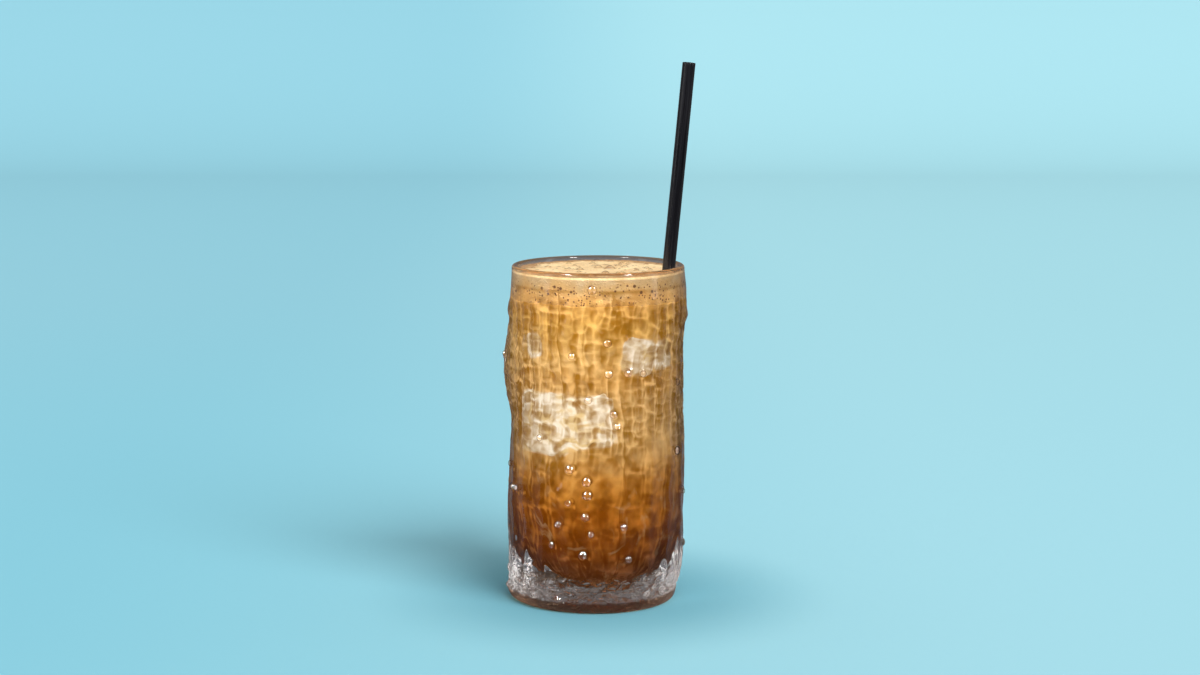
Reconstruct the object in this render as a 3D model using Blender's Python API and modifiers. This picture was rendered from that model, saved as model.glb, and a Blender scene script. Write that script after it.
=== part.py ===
"""A frappe in its glass: iced milk coffee under a foam head, with one straight drinking straw.

The glass is a tall pressed tumbler whose outside is worked like bark: wavy upright flutes, broken
into hollows, on an outline that swells and draws in. Inside, it is smooth, with a round bottom over
a thick base. The coffee fills it, the foam lies on the coffee almost up to the rim, and the straw
stands in both, leaning towards the rim.

Metres, +Z up. The origin is the middle of the flat underside, +X is the side that the straw leans
to, and -Y is the front. Azimuths are in degrees from +X, so that the front is at -90.
"""

import math
from dataclasses import dataclass

import bpy
from mathutils import Matrix, Vector

MM = 0.001
GAP = 0.3 * MM

# Glass, outside
GLASS_HEIGHT = 145 * MM
RIM_ROUND = 1.2 * MM
HEEL_DEPTH = 2.2 * MM
HEEL_HEIGHT = 4.2 * MM
# Height and radius of the outside, over the tops of its ridges, where nothing swells
OUTLINE = (
    (0.0, 36.6 * MM),
    (14 * MM, 37.2 * MM),
    (66 * MM, 37.6 * MM),
    (84 * MM, 37.0 * MM),
    (110 * MM, 36.9 * MM),
    (126 * MM, 37.8 * MM),
    (GLASS_HEIGHT, 37.0 * MM),
)

# Glass, inside
MOUTH_RADIUS = 34.3 * MM
WAIST_RADIUS = 33.2 * MM
WAIST_HEIGHT = 70 * MM
BOWL_RADIUS = 30 * MM
BOWL_DEPTH = 34 * MM
BOWL_WALL_RADIUS = 32.2 * MM
FLOOR_HEIGHT = 8 * MM

# Bark relief
COLUMNS = 40
HOLLOW_DEPTH = 1.15 * MM
HOLLOW_HEIGHT_LOW = 9.0 * MM
HOLLOW_HEIGHT_HIGH = 6.0 * MM
SHORT_HOLLOWS_FROM = 55 * MM
LONG_HOLLOWS_TO = 35 * MM
RUNGS_GROW_OVER = 60 * MM
RELIEF_BOTTOM = 5.0 * MM
RELIEF_TOP = 132 * MM
RELIEF_FADE = 3.5 * MM
RELIEF_ROWS = 46

# Drink
COFFEE_TOP = 131 * MM
FOAM_TOP = 142.6 * MM
FOAM_EDGE_RISE = 0.5 * MM
FOAM_RINGS = 5
CAVITY_STEPS = 48

# Straw
STRAW_RADIUS = 2.75 * MM
STRAW_WALL = 0.35 * MM
STRAW_STEPS = 24
STRAW_FOOT = Vector((18.73 * MM, 3.65 * MM, 18.0 * MM))
STRAW_AT_RIM = Vector((30.35 * MM, -5.0 * MM, GLASS_HEIGHT))
STRAW_LENGTH = 214.4 * MM


@dataclass(frozen=True)
class Swell:
    """A place where the glass stands out from its round outline, or draws in if amount is below 0."""

    azimuth: float
    height: float
    amount: float
    half_angle: float
    half_height: float


SWELLS = (
    Swell(180, 103 * MM, 3.9 * MM, 40, 15 * MM),
    Swell(180, 89 * MM, 1.1 * MM, 32, 7 * MM),
    Swell(180, 32 * MM, 2.0 * MM, 55, 29 * MM),
    Swell(180, 4 * MM, 1.9 * MM, 50, 9 * MM),
    Swell(0, 133 * MM, 0.6 * MM, 60, 9 * MM),
    Swell(0, 3 * MM, -2.4 * MM, 55, 9 * MM),
    Swell(60, 66 * MM, 1.3 * MM, 35, 17 * MM),
    Swell(112, 112 * MM, 1.6 * MM, 34, 13 * MM),
    Swell(95, 30 * MM, 1.0 * MM, 40, 20 * MM),
    Swell(-58, 98 * MM, 0.7 * MM, 30, 14 * MM),
    Swell(-125, 52 * MM, 0.8 * MM, 32, 18 * MM),
    # Knots
    Swell(180, 126.5 * MM, 0.8 * MM, 7, 2.8 * MM),
    Swell(0, 123 * MM, 0.9 * MM, 7, 3.2 * MM),
    Swell(75, 92 * MM, 0.9 * MM, 8, 3.6 * MM),
    Swell(140, 60 * MM, 0.9 * MM, 8, 3.4 * MM),
)


@dataclass(frozen=True)
class Bubble:
    """A bubble that stands on the foam, by its place on the foam and its radius."""

    x: float
    y: float
    radius: float


BUBBLES = (
    Bubble(-7.7 * MM, -1.4 * MM, 1.7 * MM),
    Bubble(0.2 * MM, 6.4 * MM, 1.9 * MM),
    Bubble(5.2 * MM, 3.4 * MM, 2.5 * MM),
    Bubble(8.6 * MM, 13.6 * MM, 1.4 * MM),
    Bubble(11.8 * MM, 8.6 * MM, 1.7 * MM),
    Bubble(21.0 * MM, 6.4 * MM, 1.3 * MM),
    Bubble(-12.5 * MM, 3.6 * MM, 1.2 * MM),
    Bubble(-21.6 * MM, 9.5 * MM, 1.5 * MM),
    Bubble(3.2 * MM, -14.0 * MM, 1.8 * MM),
    Bubble(-16.0 * MM, -15.5 * MM, 1.5 * MM),
    Bubble(14.5 * MM, -19.5 * MM, 1.4 * MM),
    Bubble(-2.5 * MM, 24.0 * MM, 1.5 * MM),
)
BUBBLE_SINK = 0.45


def clear_scene():
    """Removes every object of the open scene."""
    for obj in list(bpy.data.objects):
        bpy.data.objects.remove(obj, do_unlink=True)


def new_collection(name):
    collection = bpy.data.collections.new(name)
    bpy.context.scene.collection.children.link(collection)
    return collection


def material(name, colour, roughness, metallic=0.0, alpha=1.0, transmission=0.0):
    """A Principled material of one colour, given as sRGB from 0 to 255."""
    made = bpy.data.materials.new(name)
    made.use_nodes = True
    shader = made.node_tree.nodes["Principled BSDF"]
    linear = [(channel / 255) ** 2.2 for channel in colour]
    shader.inputs["Base Color"].default_value = (*linear, 1.0)
    shader.inputs["Roughness"].default_value = roughness
    shader.inputs["Metallic"].default_value = metallic
    shader.inputs["Alpha"].default_value = alpha
    shader.inputs["Transmission Weight"].default_value = transmission
    made.diffuse_color = (*linear, alpha)
    return made


def smooth(x):
    """0 up to x = 0, 1 from x = 1, and an even rise between."""
    x = min(max(x, 0.0), 1.0)
    return x * x * (3 - 2 * x)


def chance(i, j, seed):
    """A fixed number from 0 to 1 for a pair of whole numbers."""
    value = math.sin(i * 12.9898 + j * 78.233 + seed * 37.719) * 43758.5453
    return value - math.floor(value)


def outline_radius(height):
    """Radius of the round outline at a height."""
    for (low, low_radius), (high, high_radius) in zip(OUTLINE, OUTLINE[1:]):
        if height <= high:
            return low_radius + (high_radius - low_radius) * smooth((height - low) / (high - low))
    return OUTLINE[-1][1]


def swelling(azimuth, height):
    """How far all the swells together move the outline."""
    total = 0.0
    for swell in SWELLS:
        turn = (math.degrees(azimuth) - swell.azimuth + 180) % 360 - 180
        across = turn / swell.half_angle
        along = (height - swell.height) / swell.half_height
        total += swell.amount * math.exp(-across * across - along * along)
    return total


def wander(azimuth, height):
    """How far the flutes stray sideways, in columns."""
    turn = 2 * math.pi * height / MM
    return (
        0.15 * math.sin(turn / 67 + 2 * azimuth + 0.6)
        + 0.06 * math.sin(turn / 29 - 3 * azimuth + 2.1)
        + 0.03 * math.sin(turn / 13 + 5 * azimuth)
    )


def hollows_below(height):
    """How many hollows lie one above another below a height: long ones low down, short ones above."""
    short = 1 / HOLLOW_HEIGHT_HIGH - 1 / HOLLOW_HEIGHT_LOW
    return height / HOLLOW_HEIGHT_LOW + max(0.0, height - SHORT_HOLLOWS_FROM) * short


def relief_strength(column, azimuth, height):
    """1 where the bark is at its full depth, 0 on the smooth lip and heel. Each column ends apart."""
    front = math.cos(azimuth + math.pi / 2)
    top = RELIEF_TOP + (1.6 * front + 3.0 * (chance(column, 5, 2) - 0.5)) * MM
    return smooth((top - height) / RELIEF_FADE) * smooth((height - RELIEF_BOTTOM) / RELIEF_FADE)


def relief_depth(azimuth, height):
    """Depth of the bark's hollows below the tops of its ridges."""
    across = azimuth * COLUMNS / (2 * math.pi) + wander(azimuth, height)
    along = hollows_below(height)
    rung = 1.0 + 1.1 * smooth((height - LONG_HOLLOWS_TO) / RUNGS_GROW_OVER)
    nearest = 4.0
    depth = 0.0
    for column in range(math.floor(across) - 1, math.floor(across) + 2):
        own = column % COLUMNS
        stagger = 0.5 * (own % 2) + 0.5 * chance(own, 0, 1)
        first = math.floor(along - stagger)
        for row in range(first - 1, first + 2):
            aside = 0.24 * (chance(own, 7, 9) - 0.5) + 0.16 * (chance(own, row, 3) - 0.5)
            middle_across = column + 0.5 + aside
            middle_along = row + 0.5 + stagger + 0.5 * (chance(own, row, 4) - 0.5)
            away = 4.0 * (across - middle_across) ** 2 + rung * (along - middle_along) ** 2
            if away < nearest:
                nearest = away
                depth = 0.6 + 0.4 * chance(own, row, 6) + 0.35 * chance(own, 2, 13)
    hollow = max(0.0, 1 - nearest) * depth * HOLLOW_DEPTH
    return hollow * relief_strength(math.floor(across) % COLUMNS, azimuth, height)


def turned(name, profile, steps, collection):
    """An object turned round Z from (radius, height) points that run from its top down its outside."""
    mesh = bpy.data.meshes.new(name)
    mesh.from_pydata(
        [(radius, 0.0, height) for radius, height in profile],
        [(i, i + 1) for i in range(len(profile) - 1)],
        [],
    )
    obj = bpy.data.objects.new(name, mesh)
    collection.objects.link(obj)
    screw = obj.modifiers.new("Turn", "SCREW")
    screw.steps = steps
    screw.render_steps = steps
    screw.use_merge_vertices = True
    screw.merge_threshold = 0.01 * MM
    screw.use_smooth_shade = False
    return obj


def applied(obj):
    """Puts an object's modifiers into its own mesh."""
    graph = bpy.context.evaluated_depsgraph_get()
    mesh = bpy.data.meshes.new_from_object(obj.evaluated_get(graph))
    obj.modifiers.clear()
    obj.data = mesh
    return obj


def arc(centre_radius, centre_height, across, along, start, end, parts):
    """Points of an elliptic arc, between two angles in degrees from level, outward."""
    turns = [math.radians(start + (end - start) * i / parts) for i in range(parts + 1)]
    return [
        (centre_radius + across * math.cos(turn), centre_height + along * math.sin(turn))
        for turn in turns
    ]


def evenly(first, last, parts):
    return [first + (last - first) * i / parts for i in range(parts + 1)]


def glass_profile():
    """The outside from the middle of the mouth, over the rim and down to the middle of the base."""
    lip = outline_radius(GLASS_HEIGHT)
    rim = arc(lip - RIM_ROUND, GLASS_HEIGHT - RIM_ROUND, RIM_ROUND, RIM_ROUND, 90, 0, 3)
    top = GLASS_HEIGHT - RIM_ROUND
    band = [(outline_radius(height), height) for height in evenly(top, RELIEF_TOP + 3 * MM, 2)[1:]]
    wall = [
        (outline_radius(height), height)
        for height in evenly(RELIEF_TOP + 3 * MM, HEEL_HEIGHT, RELIEF_ROWS)[1:]
    ]
    foot = outline_radius(HEEL_HEIGHT) - HEEL_DEPTH
    heel = arc(foot, HEEL_HEIGHT, HEEL_DEPTH, HEEL_HEIGHT, 0, -90, 4)[1:]
    return [(0.0, GLASS_HEIGHT), *rim, *band, *wall, *heel, (0.0, 0.0)]


def cavity_wall(gap, top):
    """The smooth inside, from a height down to the middle of the floor, drawn in by a gap."""
    bowl_height = FLOOR_HEIGHT + BOWL_DEPTH
    points = [
        (cavity_radius(height) - gap, height)
        for height in [top, *evenly(top, bowl_height, 4)[1:-1]]
    ]
    bowl = arc(
        BOWL_WALL_RADIUS - BOWL_RADIUS,
        bowl_height,
        BOWL_RADIUS - gap,
        BOWL_DEPTH - gap,
        0,
        -90,
        9,
    )
    return [*points, *bowl, (0.0, FLOOR_HEIGHT + gap)]


def cavity_radius(height):
    """Inside radius above the bowl: a straight taper to the waist, and a slighter one to the mouth."""
    bowl_height = FLOOR_HEIGHT + BOWL_DEPTH
    if height < WAIST_HEIGHT:
        rise = (height - bowl_height) / (WAIST_HEIGHT - bowl_height)
        return BOWL_WALL_RADIUS + (WAIST_RADIUS - BOWL_WALL_RADIUS) * rise
    rise = (height - WAIST_HEIGHT) / (GLASS_HEIGHT - WAIST_HEIGHT)
    return WAIST_RADIUS + (MOUTH_RADIUS - WAIST_RADIUS) * rise


def cavity_cutter(cutters):
    """The space inside the glass, with the round of the rim's inner edge, and clear of its top."""
    over = GLASS_HEIGHT + 4 * MM
    edge = MOUTH_RADIUS + RIM_ROUND
    rim = arc(edge, GLASS_HEIGHT - RIM_ROUND, RIM_ROUND, RIM_ROUND, 90, 180, 3)
    wall = cavity_wall(0.0, GLASS_HEIGHT - RIM_ROUND)[1:]
    return turned("cavity", [(0.0, over), (edge, over), *rim, *wall], CAVITY_STEPS, cutters)


def worked_like_bark(obj):
    """Moves a turned body's points onto the swelling outline and the bark relief.

    Even steps of the turn go to the ridges between two flutes and odd ones to the middle of a
    flute, so that the edges follow the wandering ridges.
    """
    steps = 2 * COLUMNS
    column_turn = 2 * math.pi / COLUMNS
    for vertex in obj.data.vertices:
        x, y, height = vertex.co
        radius = math.hypot(x, y)
        if radius < MM:
            continue
        step = round(math.atan2(y, x) * steps / (2 * math.pi))
        azimuth = step / 2 * column_turn
        for _ in range(3):
            azimuth = (step / 2 - wander(azimuth, height)) * column_turn
        share = radius / outline_radius(height)
        radius += share * swelling(azimuth, height) - relief_depth(azimuth, height)
        vertex.co = (radius * math.cos(azimuth), radius * math.sin(azimuth), height)


def subtract(obj, cutter):
    cut = obj.modifiers.new("Cut " + cutter.name, "BOOLEAN")
    cut.operation = "DIFFERENCE"
    cut.object = cutter


def make_glass(parts, cutters):
    """The tumbler: a bark-worked body with its smooth inside cut out."""
    glass = applied(turned("glass", glass_profile(), 2 * COLUMNS, parts))
    worked_like_bark(glass)
    subtract(glass, cavity_cutter(cutters))
    glass.data.materials.append(
        material("clear_glass", (236, 242, 242), 0.05, alpha=0.35, transmission=1.0)
    )
    return glass


def straw_direction():
    return (STRAW_AT_RIM - STRAW_FOOT).normalized()


def stand_along_straw(obj, along):
    """Places an object whose axis is its own Z on the straw's axis, a length up from its foot."""
    turn = straw_direction().to_track_quat("Z", "Y").to_matrix().to_4x4()
    obj.matrix_world = Matrix.Translation(STRAW_FOOT + along * straw_direction()) @ turn


def straw_cutter(cutters):
    """The room that the drink leaves for the straw, open below its foot."""
    radius = STRAW_RADIUS + GAP
    foot = 12 * MM
    profile = [(0.0, STRAW_LENGTH), (radius, STRAW_LENGTH), (radius, 0.0), (0.0, 0.0)]
    cutter = turned("straw_room", profile, STRAW_STEPS, cutters)
    stand_along_straw(cutter, -foot)
    return cutter


def make_coffee(parts, room):
    """The drink under the foam, down to the round bottom of the glass."""
    profile = [(0.0, COFFEE_TOP), *cavity_wall(GAP, COFFEE_TOP)]
    coffee = turned("coffee", profile, CAVITY_STEPS, parts)
    subtract(coffee, room)
    coffee.data.materials.append(material("milk_coffee", (176, 112, 48), 0.35))
    return coffee


def foam_height(x, y):
    """Height of the foam's uneven top, which climbs a little where it meets the glass."""
    radius = math.hypot(x, y)
    edge = smooth((radius - 27 * MM) / (7 * MM))
    waves = math.sin(x / (5.1 * MM) + 0.7) * math.sin(y / (4.3 * MM) - 0.4)
    return FOAM_TOP + edge * FOAM_EDGE_RISE + 0.22 * MM * (1 - edge) * waves


def make_foam(parts, room):
    """The head: a thick layer of foam with bubbles standing on it."""
    bottom = COFFEE_TOP + GAP
    rings = evenly(0.0, cavity_radius(FOAM_TOP) - GAP, FOAM_RINGS)
    top = [(radius, FOAM_TOP) for radius in rings]
    foot = cavity_radius(bottom) - GAP
    foam = applied(turned("foam", [*top, (foot, bottom), (0.0, bottom)], CAVITY_STEPS, parts))
    for vertex in foam.data.vertices:
        if vertex.co.z > FOAM_TOP - MM:
            vertex.co.z = foam_height(vertex.co.x, vertex.co.y)
    bubbles = new_collection("bubbles")
    for number, bubble in enumerate(BUBBLES, 1):
        bpy.ops.mesh.primitive_uv_sphere_add(segments=12, ring_count=6, radius=bubble.radius)
        ball = bpy.context.object
        ball.name = f"bubble_{number:02d}"
        lift = foam_height(bubble.x, bubble.y) - BUBBLE_SINK * bubble.radius
        ball.location = (bubble.x, bubble.y, lift)
        for home in list(ball.users_collection):
            home.objects.unlink(ball)
        bubbles.objects.link(ball)
    join = foam.modifiers.new("Bubbles", "BOOLEAN")
    join.operation = "UNION"
    join.operand_type = "COLLECTION"
    join.collection = bubbles
    bpy.context.view_layer.update()
    applied(foam)
    for ball in list(bubbles.objects):
        bpy.data.objects.remove(ball, do_unlink=True)
    bpy.data.collections.remove(bubbles)
    subtract(foam, room)
    foam.data.materials.append(material("milk_foam", (226, 188, 130), 0.8))
    return foam


def make_straw(parts):
    """A plain straight tube, cut square at both ends."""
    straw = turned("straw", [(STRAW_RADIUS, STRAW_LENGTH), (STRAW_RADIUS, 0.0)], STRAW_STEPS, parts)
    wall = straw.modifiers.new("Wall", "SOLIDIFY")
    wall.thickness = STRAW_WALL
    wall.offset = -1
    stand_along_straw(straw, 0.0)
    straw.data.materials.append(material("black_plastic", (14, 13, 15), 0.25))
    return straw


def hide_cutters(cutters):
    for cutter in cutters.objects:
        cutter.hide_render = True
        cutter.display_type = "WIRE"


def main():
    clear_scene()
    parts = new_collection("frappe")
    cutters = new_collection("cutters")
    make_glass(parts, cutters)
    room = straw_cutter(cutters)
    make_coffee(parts, room)
    make_foam(parts, room)
    make_straw(parts)
    hide_cutters(cutters)


main()
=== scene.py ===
"""Looks of a frappe in its glass: bark-worked clear glass, iced milk coffee, foam head and straw.

Everything is in metres in the frame's own axes: +Z up from the flat underside, +X to the side that
the straw leans to, and -Y to the front. Azimuths run from +X, so the front is at -90 degrees.
"""

import logging
import math
from dataclasses import dataclass, field
from enum import Enum

import bmesh
import bpy
import numpy as np
from mathutils import Matrix, Vector


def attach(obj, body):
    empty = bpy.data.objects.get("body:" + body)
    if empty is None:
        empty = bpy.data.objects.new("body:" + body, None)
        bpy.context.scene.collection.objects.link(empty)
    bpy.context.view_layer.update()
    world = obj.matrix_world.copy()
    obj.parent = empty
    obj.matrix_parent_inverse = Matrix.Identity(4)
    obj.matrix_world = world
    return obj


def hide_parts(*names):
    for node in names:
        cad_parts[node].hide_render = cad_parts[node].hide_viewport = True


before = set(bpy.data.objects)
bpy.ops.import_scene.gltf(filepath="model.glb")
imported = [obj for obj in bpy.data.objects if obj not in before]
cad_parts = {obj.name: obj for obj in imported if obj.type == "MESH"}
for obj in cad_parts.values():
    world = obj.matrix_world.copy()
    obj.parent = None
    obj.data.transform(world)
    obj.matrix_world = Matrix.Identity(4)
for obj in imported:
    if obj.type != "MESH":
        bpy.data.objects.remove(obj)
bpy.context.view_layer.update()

MM = 0.001
TURN = 2 * math.pi
BODY = "root"
REACH_INTO_WALL = 0.12 * MM

logging.basicConfig(level=logging.INFO, format="%(message)s")
log = logging.getLogger("frappe")


class Slot(Enum):
    """The record's material slots."""

    GLASS = "glass"
    COFFEE = "coffee"
    FOAM = "foam"
    STRAW = "straw"


@dataclass(frozen=True)
class Colour:
    """A colour as it looks on a screen, in sRGB from 0 to 255."""

    red: float
    green: float
    blue: float

    def linear(self) -> tuple[float, float, float, float]:
        """The colour in the linear values that shaders take, with full alpha."""
        return (*(self._linear(part / 255) for part in (self.red, self.green, self.blue)), 1.0)

    def tinted(self, red: float, green: float, blue: float) -> "Colour":
        """This colour with its linear channels multiplied, and held to what a surface can reflect."""
        parts = zip(self.linear(), (red, green, blue))
        return Colour(*(255 * self._screen(min(0.93, part * gain)) for part, gain in parts))

    @staticmethod
    def _linear(part: float) -> float:
        """One channel from sRGB to linear."""
        return part / 12.92 if part <= 0.04045 else ((part + 0.055) / 1.055) ** 2.4

    @staticmethod
    def _screen(part: float) -> float:
        """One channel from linear to sRGB."""
        return part * 12.92 if part <= 0.0031308 else 1.055 * part ** (1 / 2.4) - 0.055


def smooth(x: np.ndarray) -> np.ndarray:
    """0 up to x = 0, 1 from x = 1, and an even rise between.

    Args:
        x: Values of any size.

    Returns:
        The eased values, from 0 to 1.
    """
    x = np.clip(x, 0.0, 1.0)
    return x * x * (3 - 2 * x)


def chance(i: np.ndarray, j: np.ndarray, seed: float) -> np.ndarray:
    """A fixed number from 0 to 1 for a pair of whole numbers.

    Args:
        i: First whole numbers.
        j: Second whole numbers.
        seed: Which of many such rules to use.

    Returns:
        One number for each pair.
    """
    value = np.sin(i * 12.9898 + j * 78.233 + seed * 37.719) * 43758.5453
    return value - np.floor(value)


def lattice(across: np.ndarray, along: np.ndarray, seed: float, around: int | None = None) -> np.ndarray:
    """Smooth random values between the points of a square lattice.

    Args:
        across: Places along the first axis, in cells.
        along: Places along the second axis, in cells.
        seed: Which of many lattices to use.
        around: After how many cells the first axis meets itself, if it does.

    Returns:
        Values from -1 to 1.
    """
    column = np.floor(across)
    row = np.floor(along)
    share_across = smooth(across - column)
    share_along = smooth(along - row)
    total = 0.0
    for right in (0, 1):
        for up in (0, 1):
            own = column + right if around is None else np.mod(column + right, around)
            weight = share_across if right else 1 - share_across
            weight = weight * (share_along if up else 1 - share_along)
            total = total + (chance(own, row + up, seed) * 2 - 1) * weight
    return total


@dataclass(frozen=True)
class Unevenness:
    """Smooth random unevenness over a turned surface, with no seam round it."""

    cells_round: int
    cell_height: float
    seed: int

    def at(self, azimuth: np.ndarray, height: np.ndarray) -> np.ndarray:
        """The unevenness, from -1 to 1, at angles round the axis and heights of one shape."""
        across = azimuth / TURN * self.cells_round
        return lattice(across, height / self.cell_height, self.seed, self.cells_round)


@dataclass(frozen=True)
class Swell:
    """A place where the glass stands out from its round outline, or draws in if amount is below 0."""

    azimuth: float
    height: float
    amount: float
    half_angle: float
    half_height: float


@dataclass(frozen=True)
class Pearl:
    """A small drop of glass on the outside, by its distance right of the axis and its height."""

    across: float
    height: float
    radius: float = 1.5 * MM


SWELLS = (
    Swell(180, 103 * MM, 3.9 * MM, 40, 15 * MM),
    Swell(180, 89 * MM, 1.1 * MM, 32, 7 * MM),
    Swell(180, 32 * MM, 2.0 * MM, 55, 29 * MM),
    Swell(180, 4 * MM, 1.9 * MM, 50, 9 * MM),
    Swell(0, 133 * MM, 0.6 * MM, 60, 9 * MM),
    Swell(0, 3 * MM, -2.4 * MM, 55, 9 * MM),
    Swell(60, 66 * MM, 1.3 * MM, 35, 17 * MM),
    Swell(112, 112 * MM, 1.6 * MM, 34, 13 * MM),
    Swell(95, 30 * MM, 1.0 * MM, 40, 20 * MM),
    Swell(-58, 98 * MM, 0.7 * MM, 30, 14 * MM),
    Swell(-125, 52 * MM, 0.8 * MM, 32, 18 * MM),
    Swell(180, 126.5 * MM, 0.8 * MM, 7, 2.8 * MM),
    Swell(0, 123 * MM, 0.9 * MM, 7, 3.2 * MM),
    Swell(75, 92 * MM, 0.9 * MM, 8, 3.6 * MM),
    Swell(140, 60 * MM, 0.9 * MM, 8, 3.4 * MM),
)

FRONT_PEARLS = (
    Pearl(-2.4 * MM, 138.2 * MM, 1.9 * MM),
    Pearl(4.1 * MM, 115.9 * MM, 1.7 * MM),
    Pearl(-11.2 * MM, 110.2 * MM),
    Pearl(4.6 * MM, 102.9 * MM, 1.7 * MM),
    Pearl(12.6 * MM, 102.9 * MM, 1.6 * MM),
    Pearl(19.1 * MM, 102.4 * MM),
    Pearl(-4.1 * MM, 91.8 * MM),
    Pearl(6.7 * MM, 85.8 * MM, 1.6 * MM),
    Pearl(8.4 * MM, 80.7 * MM),
    Pearl(-24.8 * MM, 74.4 * MM, 1.4 * MM),
    Pearl(-11.8 * MM, 62.4 * MM, 1.8 * MM),
    Pearl(-4.7 * MM, 57.4 * MM, 2.0 * MM),
    Pearl(-4.5 * MM, 51.6 * MM, 2.1 * MM),
    Pearl(-12.5 * MM, 48.0 * MM, 1.4 * MM),
    Pearl(-5.3 * MM, 42.2 * MM, 1.8 * MM),
    Pearl(-16.6 * MM, 38.4 * MM, 1.3 * MM),
    Pearl(11.0 * MM, 37.4 * MM, 1.5 * MM),
    Pearl(-2.9 * MM, 34.8 * MM, 1.2 * MM),
    Pearl(-19.4 * MM, 29.2 * MM, 1.4 * MM),
    Pearl(-6.5 * MM, 25.7 * MM, 1.8 * MM),
    Pearl(13.1 * MM, 23.4 * MM, 1.4 * MM),
)


@dataclass(frozen=True)
class Bark:
    """The outside of the glass: its swelling outline and the flutes and hollows worked into it."""

    height: float = 145 * MM
    outline: tuple[tuple[float, float], ...] = (
        (0.0, 36.6 * MM),
        (14 * MM, 37.2 * MM),
        (66 * MM, 37.6 * MM),
        (84 * MM, 37.0 * MM),
        (110 * MM, 36.9 * MM),
        (126 * MM, 37.8 * MM),
        (145 * MM, 37.0 * MM),
    )
    columns: int = 40
    hollow_depth: float = 0.95 * MM
    merge_height: float = 80 * MM
    hollow_height_low: float = 9.0 * MM
    hollow_height_high: float = 6.0 * MM
    short_from: float = 55 * MM
    bottom: float = 5.0 * MM
    top: float = 134.5 * MM
    fade: float = 3.5 * MM
    top_fade: float = 6.0 * MM
    base_chaos_top: float = 15 * MM
    ripple_depth: float = 0.10 * MM
    broad_chaos: float = 0.75 * MM
    fine_chaos: float = 0.42 * MM
    pearl_ring: float = 37.6 * MM
    pearl_rise: float = 0.30
    wild_pearls: int = 46
    mean_radius: float = 37 * MM
    most_proud: float = 0.9 * MM
    seed: int = 11

    def outline_radius(self, height: np.ndarray) -> np.ndarray:
        """Radius of the round outline at some heights.

        Args:
            height: Heights above the underside.

        Returns:
            The radius over the tops of the ridges, where nothing swells.
        """
        height = np.asarray(height, float)
        radius = np.full_like(height, self.outline[-1][1])
        for (low, low_radius), (high, high_radius) in reversed(
            list(zip(self.outline, self.outline[1:]))
        ):
            share = smooth((height - low) / (high - low))
            radius = np.where(height <= high, low_radius + (high_radius - low_radius) * share, radius)
        return radius

    def swelling(self, azimuth: np.ndarray, height: np.ndarray) -> np.ndarray:
        """How far all the swells together move the outline.

        Args:
            azimuth: Angles round the axis, in radians.
            height: Heights above the underside.

        Returns:
            The move outward.
        """
        total = 0.0
        for swell in SWELLS:
            turn = np.mod(np.degrees(azimuth) - swell.azimuth + 180, 360) - 180
            across = turn / swell.half_angle
            along = (height - swell.height) / swell.half_height
            total = total + swell.amount * np.exp(-across * across - along * along)
        return total

    def wander(self, azimuth: np.ndarray, height: np.ndarray) -> np.ndarray:
        """How far the flutes stray sideways, in columns.

        Args:
            azimuth: Angles round the axis, in radians.
            height: Heights above the underside.

        Returns:
            The stray of the flutes.
        """
        turn = TURN * height / MM
        return (
            0.15 * np.sin(turn / 67 + 2 * azimuth + 0.6)
            + 0.06 * np.sin(turn / 29 - 3 * azimuth + 2.1)
            + 0.03 * np.sin(turn / 13 + 5 * azimuth)
        )

    def strength(self, column: np.ndarray, azimuth: np.ndarray, height: np.ndarray) -> np.ndarray:
        """How much of its full depth the bark has, from 0 on the smooth lip and heel to 1.

        Args:
            column: Whole number of the flute.
            azimuth: Angles round the axis, in radians.
            height: Heights above the underside.

        Returns:
            Shares from 0 to 1.
        """
        top = self.top + (1.6 * np.cos(azimuth + math.pi / 2) + 5.0 * (chance(column, 5, 2) - 0.5)) * MM
        return smooth((top - height) / self.top_fade) * smooth((height - self.bottom) / self.fade)

    def flutes(self, azimuth: np.ndarray, height: np.ndarray) -> np.ndarray:
        """Place round the glass counted in narrow flutes, whole numbers on the ridges between them.

        Args:
            azimuth: Angles round the axis, in radians.
            height: Heights above the underside.

        Returns:
            The place, in flutes.
        """
        stray = 0.07 * Unevenness(54, 9 * MM, 21).at(azimuth, height)
        stray = stray + 0.05 * Unevenness(90, 4 * MM, 23).at(azimuth, height)
        return azimuth * self.columns / TURN + self.wander(azimuth, height) + stray

    def merging(self, azimuth: np.ndarray, height: np.ndarray) -> np.ndarray:
        """How far the narrow flutes have merged in pairs, 0 high up and 1 low down."""
        level = self.merge_height + 9 * MM * Unevenness(20, 60 * MM, 24).at(azimuth, height)
        return smooth((level - height) / (16 * MM))

    def cells(self, azimuth: np.ndarray, height: np.ndarray) -> tuple[np.ndarray, np.ndarray]:
        """The hollow at each place.

        Args:
            azimuth: Angles round the axis, in radians.
            height: Heights above the underside.

        Returns:
            The share of the full depth that it reaches there, and its tone from -1 to 1.
        """
        flutes = self.flutes(azimuth, height)
        lift = 0.16 * Unevenness(70, 3.7 * MM, 22).at(azimuth, height)
        short = 1 / self.hollow_height_high - 1 / self.hollow_height_low
        along = height / self.hollow_height_low + np.maximum(0.0, height - self.short_from) * short
        rung = 1.3 + 1.2 * smooth((height - 38 * MM) / (50 * MM))
        narrow, narrow_tone = self._hollows(flutes, along + lift, self.columns, rung)
        wide, wide_tone = self._hollows(flutes / 2, height / (14 * MM) + 0.6 * lift, self.columns // 2, 1.6)
        merged = self.merging(azimuth, height)
        return narrow + (wide - narrow) * merged, narrow_tone + (wide_tone - narrow_tone) * merged

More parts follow.
